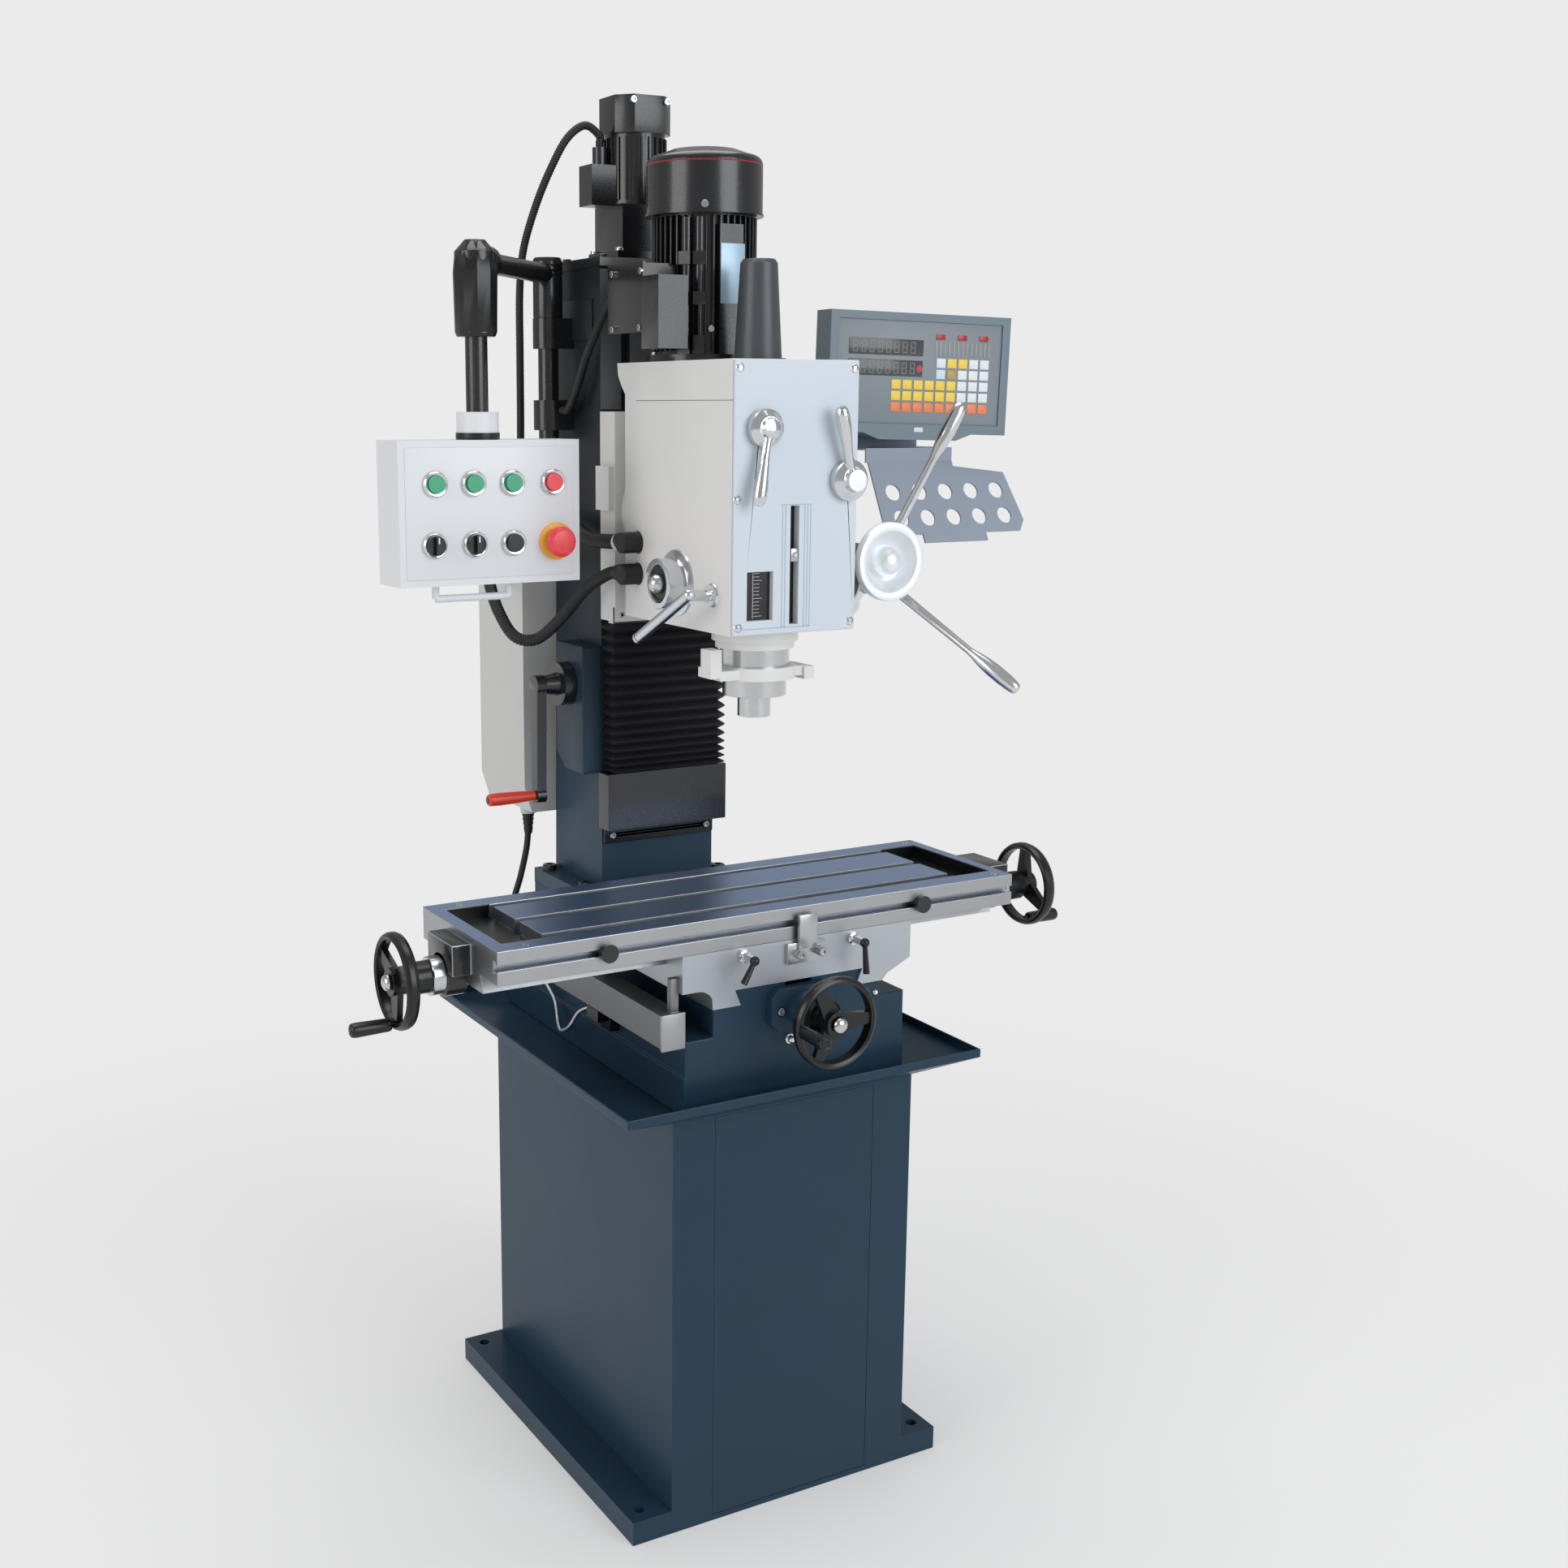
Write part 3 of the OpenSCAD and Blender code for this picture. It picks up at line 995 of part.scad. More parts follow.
// Speed levers on the front panel
module speed_lever(p, hub_r, tip, far) {
  color("#c3c5c7") {
    rod_y(7, head_y0 - 10, head_y0 + 36, p.x, p.y);
    rod_y(hub_r, head_y0 - 10, head_y0 - seat_gap, p.x, p.y);
    translate([p.x, head_y0 - 10, p.y]) rotate([90, 0, 0]) cylinder(r1 = hub_r, r2 = hub_r - 9, h = 8);
    translate([p.x, head_y0 - 18, p.y]) rotate([90, 0, 0]) cylinder(r1 = hub_r - 11, r2 = hub_r - 12, h = far);
    rod([p.x, head_y0 - 12, p.y], [tip.x, head_y0 - 22, tip.y], 5, 8.5);
  }
}
module speed_lever_upper() speed_lever(speed_shafts[0], 24, [speed_shafts[0].x - 17, speed_shafts[0].y - 84], 4);
module speed_lever_lower() speed_lever(speed_shafts[1], 26, [speed_shafts[1].x - 23, speed_shafts[1].y + 84], 8);

module quill_lock_lever() color("#c3c5c7") {
  y = spindle_y - 46;
  z = feed_z - 9;
  rod_x(7, -head_x - 8, -head_x + 28, y, z);
  rod_x(14, -head_x - 6, -head_x - seat_gap, y, z);
  rod([-head_x - 5, y, z], [-head_x - 44, y - 16, z + 4], 7.2, 7.2);
  translate([-head_x - 44, y - 16, z + 4]) sphere(r = 8);
  rod([-head_x - 44, y - 16, z + 4], [-head_x - 60, y + 91, z - 62], 7.5, 7.5);
}

// Pendant arm: sleeve on the post, level tube, elbow and drop tube
drop_x = -321;
drop_y = 18;
module pendant_arm() color("#17181a") {
  difference() {
    union() {
      rod_z(20.5, 1643.3, 1722, post_x, post_y);
      rod([post_x, post_y, 1705], [drop_x, drop_y, 1705], 14, 14);
      rod_z(27, 1612, 1716, drop_x, drop_y);
      translate([drop_x, drop_y, 1716]) cylinder(r1 = 27, r2 = 14, h = 14);
      translate([post_x, post_y, 1722]) cylinder(r1 = 20.5, r2 = 13, h = 6);
    }
    rod_z(tube_r + fit, 1643, 1690.3, post_x, post_y);
  }
  rod_z(tube_r, 1479, 1613, drop_x, drop_y);
}
// Pendant box: sheet box with collar, panel, bezels and handle loop
box_x0 = drop_x - box_w / 2 + 1;
box_x1 = box_x0 + box_w;
box_y0 = -20;
box_z0 = 1286;
box_z1 = box_z0 + box_h;
button_row = box_z1 - 56;
knob_row = box_z1 - 135;
button_x = [-400, -345.7, -290, -230.7];
knob_x = [-402, -345];
black_x = -289;
stop_x = -226;
module pendant_box() color("#e6e8ea") {
  difference() {
    union() {
      block([box_x0, box_y0, box_z0], [box_x1, box_y0 + box_d, box_z1]);
      rod_z(28, box_z1, box_z1 + 36, drop_x, drop_y);
      for (x = button_x) rod_y(16, box_y0 - 7, box_y0, x, button_row);
      rod_y(16, box_y0 - 7, box_y0, black_x, knob_row);
      for (x = knob_x) rod_y(16, box_y0 - 5, box_y0, x, knob_row);
      rod_y(23, box_y0 - 4, box_y0, stop_x, knob_row);
    }
    block([box_x0 + box_t, box_y0 + box_t, box_z0 + box_t], [box_x1 - box_t, box_y0 + box_d - box_t, box_z1 - box_t]);
    rod_z(tube_r + fit, box_z1 + 3, box_z1 + 37, drop_x, drop_y);
    for (x = button_x) button_hole(x, button_row);
    button_hole(black_x, knob_row);
    for (x = concat(knob_x, [stop_x])) rod_y(6 + fit, box_y0 - 8, box_y0 + box_t + 1, x, knob_row);
  }
  for (x = [-390, -284]) rod_z(5, box_z0 - 19, box_z0, x, 8);
  rod_x(5, -390, -284, 8, box_z0 - 19);
}
module button_hole(x, z) {
  rod_y(6 + fit, box_y0 - 8, box_y0 + box_t + 1, x, z);
  rod_y(11.5 + side_gap, box_y0 - 8, box_y0 - 1, x, z);
}
module push_button(x, z, c) color(c) {
  rod_y(11.5, box_y0 - 11, box_y0 - 5.5, x, z);
  rod_y(6, box_y0 - 6, box_y0 + 14, x, z);
}
module push_button_1() push_button(button_x[0], button_row, "#3daa80");
module push_button_2() push_button(button_x[1], button_row, "#3daa80");
module push_button_3() push_button(button_x[2], button_row, "#3daa80");
module push_button_4() push_button(button_x[3], button_row, "#e8505a");
module push_button_5() push_button(black_x, knob_row, "#2b2e33");
module emergency_stop() color("#f04a4a") translate([stop_x, box_y0, knob_row]) rotate([90, 0, 0]) {
  translate([0, 0, -16]) cylinder(r = 6, h = 26);
  translate([0, 0, 10]) cylinder(r1 = 14, r2 = 20.5, h = 6);
  translate([0, 0, 16]) cylinder(r = 20.5, h = 4);
  translate([0, 0, 20]) cylinder(r1 = 20.5, r2 = 15, h = 5);
}
module selector(x) color("#23252a") translate([x, box_y0, knob_row]) rotate([90, 0, 0]) {
  translate([0, 0, -14]) cylinder(r = 6, h = 22);
  translate([0, 0, 5.3]) cylinder(r = 13, h = 5);
  translate([-3.2, -12, 9]) cube([6.4, 24, 9]);
}
module selector_1() selector(knob_x[0]);
module selector_2() selector(knob_x[1]);

// Readout arm with its tool rack, and the console
readout_at = [287, 92, 1481];
readout_turn = [0, 1.5, -6];
module readout_arm() color("#8f97a3") {
  rod_z(6, 1515, 1560, column_w / 2 + 24, 190);
  rod_z(11.5, 1536.3, 1560, column_w / 2 + 24, 190);
  rod([column_w / 2 + 24, 190, 1548], [440, 160, 1548], 11, 11);
  difference() {
    rod_z(15, 1490, 1560, 440, 160);
    rod_z(6 + fit, 1489, 1520, 440, 160);
  }
  block([352, 172, 1452], [516, 175, 1566]);
  block([425, 165, 1538], [455, 174, 1558]);
  block([352, 83, 1452], [516, 175, 1455]);
  block([352, 80, 1433], [516, 83, 1455]);
  translate([0, 80, 1435]) rotate([-26, 0, 0]) translate([0, 0, -122]) rack_plate();
}
// Tool rack: a sheet with two rows of holes and a folded lip
module rack_plate() {
  difference() {
    along_y(0, 3) polygon([[356, 0], [616, 0], [628, 18], [612, 100], [516, 112], [516, 122], [356, 122]]);
    for (k = [0 : 4]) {
      rod_y(rack_hole_d / 2, -1, 4, 388 + 50 * k, 70);
      rod_y(rack_hole_d / 2, -1, 4, 392 + 50 * k, 27);
    }
  }
  block([425, 0, -14], [547, 3, 0]);
}
module readout_console() {
  color("#7f929c") translate(readout_at) rotate(readout_turn) difference() {
    union() {
      difference() {
        block([0, 0, 0], [readout_w, readout_d, readout_h]);
        block([14, -1, 14], [readout_w - 14, 3, readout_h - 12]);
      }
      along_y(0, readout_d) polygon([[60, 1], [90, -10], [readout_w - 90, -10], [readout_w - 60, 1]]);
    }
  }
  color("#2a2c2f") {
    difference() {
      rod([440, 160, 1484], [440, 160, 1520], 6, 6);
    }
    block([425, 105, 1480], [455, 165, 1488]);
  }
}

stand_cabinet();
stand_front_panel();
chip_tray();
base_casting();
y_screw_bracket();
column();
lift_motor();
lift_motor_conduit();
crank_gearbox();
electrical_cabinet();
pendant_post();
bellows();
bellows_lower_cover();
head_hoses();
motor_conduit();
y_scale_reader();
mains_lead();
mains_coil();
mains_plug();
cabinet_door();
lift_screw();
z_crank();
z_crank_grip();
saddle();
y_scale();
saddle_lock_lever_left();
saddle_lock_lever_right();
y_handwheel();
y_handwheel_grip();
table();
x_handwheels();
x_handwheel_grip_left();
x_handwheel_grip_right();
stop_dog_left();
stop_dog_right();
head_slide();
head_housing();
head_front_panel();
main_motor();
spindle_cap();
quill();
quill_stop_plate();
spindle();
feed_hub();
fine_feed_wheel();
speed_lever_upper();
speed_lever_lower();
quill_lock_lever();
pendant_arm();
pendant_box();
push_button_1();
push_button_2();
push_button_3();
push_button_4();
push_button_5();
emergency_stop();
selector_1();
selector_2();
readout_arm();
readout_console();
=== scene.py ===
import math

import bmesh
import bpy
from mathutils import Matrix, Vector


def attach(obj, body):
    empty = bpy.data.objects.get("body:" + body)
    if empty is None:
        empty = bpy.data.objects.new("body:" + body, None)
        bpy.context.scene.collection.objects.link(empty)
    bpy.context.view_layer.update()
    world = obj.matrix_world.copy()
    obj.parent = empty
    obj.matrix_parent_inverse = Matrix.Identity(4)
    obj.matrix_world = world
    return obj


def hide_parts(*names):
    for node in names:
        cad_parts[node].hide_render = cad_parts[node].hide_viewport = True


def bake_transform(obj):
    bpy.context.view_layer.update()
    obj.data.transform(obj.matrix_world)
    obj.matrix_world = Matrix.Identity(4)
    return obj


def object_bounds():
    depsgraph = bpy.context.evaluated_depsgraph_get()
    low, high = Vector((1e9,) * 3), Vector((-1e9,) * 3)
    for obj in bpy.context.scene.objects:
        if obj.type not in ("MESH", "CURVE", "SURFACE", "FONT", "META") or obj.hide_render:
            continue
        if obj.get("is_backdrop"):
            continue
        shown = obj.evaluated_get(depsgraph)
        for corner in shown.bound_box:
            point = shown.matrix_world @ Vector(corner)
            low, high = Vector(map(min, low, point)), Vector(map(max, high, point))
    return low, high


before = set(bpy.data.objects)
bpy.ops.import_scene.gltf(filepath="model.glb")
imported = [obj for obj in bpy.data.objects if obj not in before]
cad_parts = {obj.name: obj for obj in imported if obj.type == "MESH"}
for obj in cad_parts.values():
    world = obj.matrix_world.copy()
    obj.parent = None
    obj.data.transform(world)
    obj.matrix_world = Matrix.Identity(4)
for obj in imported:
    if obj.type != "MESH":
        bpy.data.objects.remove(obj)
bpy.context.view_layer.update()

# Camera: a long lens at chest height, to the left of the machine and in front of it,
# shifted as the photograph was cropped. The view comes from the machine's square edges.
scene = bpy.context.scene
lens = bpy.data.cameras.new("camera")
lens.sensor_width = 36
lens.lens = 42.325
lens.shift_x = 0.0895
lens.shift_y = -0.0107
camera = bpy.data.objects.new("camera", lens)
scene.collection.objects.link(camera)
camera.matrix_world = Matrix(((0.87782, 0.09216, -0.47004, -1.319), (-0.47899, 0.16890, -0.86142, -2.271),
                              (0, 0.98132, 0.19241, 1.519), (0, 0, 0, 1)))
scene.camera = camera

# Mains lead: 10 mm rubber-sheathed three-core cable, 2.4 m long. It hangs from the gland
# under the electrical cabinet, runs down behind the stand and lies coiled on the floor, ending in a plug.


def route(points, steps):
    """A smooth curve through the points, with so many steps from one to the next."""
    points = [Vector(p) for p in points]
    made = []
    for i in range(len(points) - 1):
        a, b, c = points[max(i - 1, 0)], points[i], points[i + 1]
        d = points[min(i + 2, len(points) - 1)]
        for k in range(steps):
            t = k / steps
            made.append(0.5 * (2 * b + (c - a) * t + (2 * a - 5 * b + 4 * c - d) * t ** 2
                               + (3 * b - a - 3 * c + d) * t ** 3))
    return made + [points[-1]]


def cable(name, points, radius):
    """A round cable as a curve of one open spline along points in metres."""
    data = bpy.data.curves.new(name, "CURVE")
    data.dimensions = "3D"
    data.bevel_depth = radius
    data.bevel_resolution = 5
    data.use_fill_caps = True
    spline = data.splines.new("POLY")
    spline.points.add(len(points) - 1)
    for point, at in zip(spline.points, points):
        point.co = (*at, 1)
    made = bpy.data.objects.new(name, data)
    scene.collection.objects.link(made)
    return made


hang = [(-0.123, 0.3, 0.892), (-0.123, 0.3, 0.87), (-0.126, 0.301, 0.835), (-0.136, 0.303, 0.79),
        (-0.148, 0.308, 0.74), (-0.152, 0.314, 0.65), (-0.15, 0.318, 0.5), (-0.146, 0.322, 0.35),
        (-0.144, 0.326, 0.2), (-0.142, 0.332, 0.09), (-0.136, 0.342, 0.028), (-0.118, 0.354, 0.007),
        (-0.09, 0.362, 0.0052), (-0.04, 0.366, 0.0052), (0.01, 0.367, 0.0052), (0.04, 0.367, 0.0052),
        (0.06, 0.367, 0.0052)]
lead_points = route(hang, 6)
COIL_X, COIL_Y = 0.06, 0.425
COIL_RADIUS, INNER_RADIUS = 0.058, 0.0364
INWARD = 0.0108  # metres nearer the centre on each turn
BOTTOM, LAYER = 0.0052, 0.0109
COIL_END = 720 * 2 + 180
for step in range(1, int(COIL_END / 7.5), 2):
    angle = 7.5 * step
    radius = (COIL_RADIUS - INWARD * angle / 360 if angle < 720 else INNER_RADIUS if angle < 900
              else COIL_RADIUS - INWARD * (COIL_END - angle) / 360)
    lift = min(max((angle - 720) / 180, 0), 1)
    height = BOTTOM + (1 - math.cos(math.pi * lift)) / 2 * LAYER
    turn = math.radians(angle)
    lead_points.append(Vector((COIL_X + radius * math.sin(turn), COIL_Y - radius * math.cos(turn), height)))
lead_points += [Vector((0.056, 0.4832, 0.0161)), Vector((0.046, 0.4832, 0.0161))]
lead = cable("mains_lead_cable", lead_points, 0.005)
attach(lead, "machine")
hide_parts("mains_lead", "mains_coil")

# Studio: a pale floor and surround that the camera sees as one even light grey, and three large soft lights
# as in a product photograph: a cool one from the front, a faintly warm one from the left, one overhead.


def linear(code):
    """Linear colour of an sRGB hex code."""
    parts = [int(code[i:i + 2], 16) / 255 for i in (0, 2, 4)]
    return [c / 12.92 if c <= 0.04045 else ((c + 0.055) / 1.055) ** 2.4 for c in parts] + [1]


def add(tree, kind, links=(), **values):
    """A node with its values set by socket name, and its sockets joined to others."""
    made = tree.nodes.new(kind)
    for key, value in values.items():
        if hasattr(made, key):
            setattr(made, key, value)
        else:
            made.inputs[key.replace("_", " ")].default_value = value
    for socket, source in links:
        tree.links.new(source, made.inputs[socket])
    return made


PALE = linear("ebebeb")
world = bpy.data.worlds.new("studio")
scene.world = world
world.use_nodes = True
world.node_tree.nodes.clear()
lights_it = add(world.node_tree, "ShaderNodeBackground", Color=PALE, Strength=0.5)
seen = add(world.node_tree, "ShaderNodeBackground", Color=PALE, Strength=1.0)
view = add(world.node_tree, "ShaderNodeLightPath")
either = add(world.node_tree, "ShaderNodeMixShader",
             [(0, view.outputs["Is Camera Ray"]), (1, lights_it.outputs[0]), (2, seen.outputs[0])])
add(world.node_tree, "ShaderNodeOutputWorld", [("Surface", either.outputs[0])])


def lamp(name, at, aim, width, power, tint):
    """A square soft light of so many metres, aimed at a point."""
    data = bpy.data.lights.new(name, "AREA")
    data.size = width
    data.energy = power
    data.color = tint
    made = bpy.data.objects.new(name, data)
    scene.collection.objects.link(made)
    aimed = (Vector(at) - Vector(aim)).to_track_quat("Z", "Y").to_matrix().to_4x4()
    made.matrix_world = Matrix.Translation(at) @ aimed


lamp("front_light", (1.4, -4.2, 2.6), (0, 0, 1), 2.8, 98, (0.92, 0.96, 1))
lamp("left_light", (-4.2, -0.6, 2.4), (0, 0, 1.1), 2.4, 56, (1, 0.985, 0.965))
lamp("top_light", (0.2, 0.6, 4.2), (0, 0, 1), 2.6, 62, (1, 1, 1))
scene.view_settings.view_transform = "Standard"

# The floor shows shadows near the machine and fades into the surround further out.
backdrop = bpy.data.materials.new("studio_paper")
backdrop.use_nodes = True
backdrop.node_tree.nodes.clear()
seen = add(backdrop.node_tree, "ShaderNodeEmission", Color=PALE, Strength=1.0)
lit = add(backdrop.node_tree, "ShaderNodeBsdfDiffuse", Color=linear("ededed"))
spot = add(backdrop.node_tree, "ShaderNodeNewGeometry")
away = add(backdrop.node_tree, "ShaderNodeVectorMath", [(0, spot.outputs["Position"])], operation="LENGTH")
share = add(backdrop.node_tree, "ShaderNodeMapRange", [("Value", away.outputs["Value"])],
            From_Min=0.5, From_Max=2.4, To_Min=0.6, To_Max=0.0, interpolation_type="SMOOTHSTEP")
both = add(backdrop.node_tree, "ShaderNodeMixShader",
           [(0, share.outputs[0]), (1, seen.outputs[0]), (2, lit.outputs[0])])
add(backdrop.node_tree, "ShaderNodeOutputMaterial", [("Surface", both.outputs[0])])
floor_form = bmesh.new()
bmesh.ops.create_grid(floor_form, x_segments=1, y_segments=1, size=14)
floor_mesh = bpy.data.meshes.new("floor")
floor_form.to_mesh(floor_mesh)
floor_mesh.materials.append(backdrop)
floor = bpy.data.objects.new("floor", floor_mesh)
scene.collection.objects.link(floor)
floor.location.z = -0.0005
floor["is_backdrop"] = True

# Stand: folded 4 mm steel sheet on a welded foot frame, with a front panel let into it.
# It is sprayed with a dark slate-blue enamel that shows a fine orange peel.
COLOUR_A, COLOUR_B, COLOUR_OUT = 6, 7, 2  # sockets of a Mix node that mixes colours
VALUE_A, VALUE_B = 2, 3  # sockets of a Mix node that mixes values


def finish(name, code, metallic=0.0, rough=0.4, bump=0.0, scale=300.0, stretch=(1, 1, 1), tone=0.06, coat=0.0,
           shine=0.5, below=None, upward=None):
    """A material with uneven roughness, a slightly uneven colour and a fine relief.

    It can have another colour low down (colour, full below, none above), so that the colour above is painted
    shade, and on faces that look up another roughness and another colour, which is a painted reflection.
    """
    made = bpy.data.materials.new(name)
    made.use_nodes = True
    tree = made.node_tree
    body = tree.nodes["Principled BSDF"]
    body.inputs["Metallic"].default_value = metallic
    body.inputs["Specular IOR Level"].default_value = shine
    body.inputs["Coat Weight"].default_value = coat
    body.inputs["Coat Roughness"].default_value = 0.12
    place = add(tree, "ShaderNodeTexCoord")
    drawn = add(tree, "ShaderNodeMapping", [("Vector", place.outputs["Object"])])
    drawn.inputs["Scale"].default_value = stretch
    soft = add(tree, "ShaderNodeTexNoise", [("Vector", place.outputs["Object"])], Scale=7.0, Detail=4.0)
    fine = add(tree, "ShaderNodeTexNoise", [("Vector", drawn.outputs[0])], Scale=scale, Detail=3.0)
    even = add(tree, "ShaderNodeMath", [(0, soft.outputs[0]), (1, fine.outputs[0])], operation="ADD")
    spread = add(tree, "ShaderNodeMapRange", [("Value", even.outputs[0])], From_Min=0.6, From_Max=1.4,
                 To_Min=max(rough - 0.07, 0.03), To_Max=rough + 0.09)
    tree.links.new(spread.outputs[0], body.inputs["Roughness"])
    base = linear(code)
    dark = [c * (1 - 2 * tone) for c in base[:3]] + [1]
    colour = add(tree, "ShaderNodeMix", [("Factor", soft.outputs[0])], data_type="RGBA")
    colour.inputs[COLOUR_A].default_value = dark
    colour.inputs[COLOUR_B].default_value = base
    shown = colour.outputs[COLOUR_OUT]
    # Painted shade: the colour given for low down fades into the darker base colour higher up.
    if below:
        height = add(tree, "ShaderNodeSeparateXYZ", [("Vector", place.outputs["Object"])])
        share = add(tree, "ShaderNodeMapRange", [("Value", height.outputs["Z"])],
                    From_Min=below[1], From_Max=below[2], To_Min=1.0, To_Max=0.0)
        lower = add(tree, "ShaderNodeMix", [("Factor", share.outputs[0])], data_type="RGBA")
        tree.links.new(shown, lower.inputs[COLOUR_A])
        lower.inputs[COLOUR_B].default_value = linear(below[0])
        shown = lower.outputs[COLOUR_OUT]
    # Painted reflection: faces that look up take another colour, and another roughness.
    if upward:
        geometry = add(tree, "ShaderNodeNewGeometry")
        facing = add(tree, "ShaderNodeSeparateXYZ", [("Vector", geometry.outputs["Normal"])])
        share = add(tree, "ShaderNodeMapRange", [("Value", facing.outputs["Z"])], From_Min=0.7, From_Max=0.95)
        top = add(tree, "ShaderNodeMix", [("Factor", share.outputs[0])], data_type="RGBA")
        tree.links.new(shown, top.inputs[COLOUR_A])
        top.inputs[COLOUR_B].default_value = linear(upward[0])
        shown = top.outputs[COLOUR_OUT]
        even = add(tree, "ShaderNodeMix", [("Factor", share.outputs[0]), (VALUE_A, spread.outputs[0])])
        even.inputs[VALUE_B].default_value = upward[1]
        tree.links.new(even.outputs[0], body.inputs["Roughness"])
    tree.links.new(shown, body.inputs["Base Color"])
    if bump:
        relief = add(tree, "ShaderNodeBump", [("Height", fine.outputs[0])], Strength=bump, Distance=0.0004)
        tree.links.new(relief.outputs[0], body.inputs["Normal"])
    return made


slate = finish("slate_blue_enamel", "243d50", rough=0.34, bump=0.25, scale=420, shine=0.22)
# Slate blue enamel with painted shade: near black above 1.3 m, fading to the slate blue below 0.95 m.
slate_shaded_above = finish("slate_enamel_painted_shade_above", "1d2227", rough=0.36, bump=0.3, scale=380, shine=0.25,
                    below=("2b4253", 0.95, 1.3))
grey = finish("light_grey_enamel", "e0e0de", rough=0.4, bump=0.25, scale=350, tone=0.03, coat=0.15)
silver_blue = finish("silver_blue_enamel", "cdd7e0", rough=0.42, bump=0.1, scale=500, tone=0.03)
black = finish("gloss_black_enamel", "17181b", rough=0.27, bump=0.15, scale=400, coat=0.3)
bare = finish("bare_rolled_steel", "9a9a94", metallic=0.6, rough=0.5, bump=0.3, scale=200,
              stretch=(1, 10, 10))
plastic = finish("black_moulded_plastic", "0e0f11", rough=0.3, bump=0.15, scale=600)
rubber = finish("black_rubber_sheath", "17181a", rough=0.52, bump=0.3, scale=700)
cloth = finish("coated_black_cloth", "1d1d21", rough=0.5, bump=0.5, scale=900)
# Ground steel: faces that look up take a painted bluish sky reflection as their colour, and a roughness of
# their own.
ground = finish("ground_steel", "b1b3b6", metallic=1, rough=0.36, bump=0.25, scale=260,
                stretch=(1, 14, 14), upward=("90a9cf", 0.33))
saddle_steel = finish("machined_iron", "b9bfc5", metallic=0.85, rough=0.42, bump=0.2, scale=240,
                      stretch=(12, 1, 12))
scraped = finish("scraped_iron", "8e9397", metallic=0.7, rough=0.45, bump=0.9, scale=170)
polished = finish("polished_chrome", "d9dbde", metallic=1, rough=0.17, bump=0.01, scale=90, tone=0.01)
turned = finish("turned_bright_steel", "d2d3d5", metallic=1, rough=0.22, bump=0.08, scale=160,
                stretch=(1, 1, 18))
zinc = finish("zinc_plated_steel", "bfc2c5", metallic=1, rough=0.28, bump=0.1, scale=500)
anodised = finish("anodised_aluminium", "acaeb0", metallic=0.9, rough=0.4, bump=0.15, scale=300,
                  stretch=(1, 12, 1))
dark_grey = finish("dark_grey_enamel", "43474c", rough=0.38, bump=0.25, scale=350)

FRONT, LEFT, RIGHT, UP = (0, -1, 0), (-1, 0, 0), (1, 0, 0), (0, 0, 1)
SHARP = 34  # degrees between two faces from which their edge is rounded or stays sharp


def dress(node, material, edge=0.0008):
    """The CAD solid keeps its shape; its sharp edges get a small rounding, and it takes its material."""
    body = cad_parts[node]
    body.data.materials.clear()
    body.data.materials.append(material)
    join = body.modifiers.new("join", "WELD")
    join.merge_threshold = 0.00001
    if edge:
        round_off = body.modifiers.new("edges", "BEVEL")
        round_off.width = edge
        round_off.segments = 2
        round_off.limit_method = "ANGLE"
        round_off.angle_limit = math.radians(SHARP)
        round_off.use_clamp_overlap = True
    crisp = body.modifiers.new("crisp", "EDGE_SPLIT")
    crisp.split_angle = math.radians(19)
    for face in body.data.polygons:
        face.use_smooth = True


def piece(name, form, material, body, smooth=SHARP):
    """A finished piece from a form drawn in millimetres; it rides on a CAD body."""
    bmesh.ops.scale(form, vec=(0.001, 0.001, 0.001), verts=form.verts)
    bmesh.ops.recalc_face_normals(form, faces=form.faces)
    data = bpy.data.meshes.new(name)
    form.to_mesh(data)
    form.free()
    for face in data.polygons:
        face.use_smooth = True
    data.set_sharp_from_angle(angle=math.radians(smooth))
    data.materials.append(material)
    made = bpy.data.objects.new(name, data)
    scene.collection.objects.link(made)
    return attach(made, body) if body else made


def block(form, low, high, edge=0.0, turn=None):
    """A box between two corners in millimetres, with rounded edges."""
    low, high = Vector(low), Vector(high)
    size = Matrix.Diagonal((*(high - low), 1))
    place = (turn or Matrix()) @ Matrix.Translation((low + high) / 2) @ size
    cube = bmesh.ops.create_cube(form, size=1, matrix=place)
    if edge:
        edges = {e for v in cube["verts"] for e in v.link_edges}
        bmesh.ops.bevel(form, geom=list(edges), offset=edge, segments=2, profile=0.5, affect="EDGES",
                        material=-1)


def rod(form, start, end, radius, tip=None, sides=32, turn=None):
    """A round bar or cone from one point to another, in millimetres."""
    start, end = Vector(start), Vector(end)
    axis = (end - start).to_track_quat("Z", "Y").to_matrix().to_4x4()
    bmesh.ops.create_cone(form, cap_ends=True, segments=sides, radius1=radius,
                          radius2=radius if tip is None else tip, depth=(end - start).length,
                          matrix=(turn or Matrix()) @ Matrix.Translation((start + end) / 2) @ axis)


def turned_form(form, profile, at, axis, sides=48):
    """A lathe-turned shape: profile of radius and height, spun about an axis through a point."""
    place = Matrix.Translation(at) @ Vector(axis).to_track_quat("Z", "Y").to_matrix().to_4x4()
    line = [form.verts.new(place @ Vector((r, 0, h))) for r, h in profile]
    edges = [form.edges.new(pair) for pair in zip(line, line[1:])]
    bmesh.ops.spin(form, geom=line + edges, cent=place.translation, axis=place.to_3x3() @ Vector((0, 0, 1)),
                   angle=2 * math.pi, steps=sides, use_merge=True)


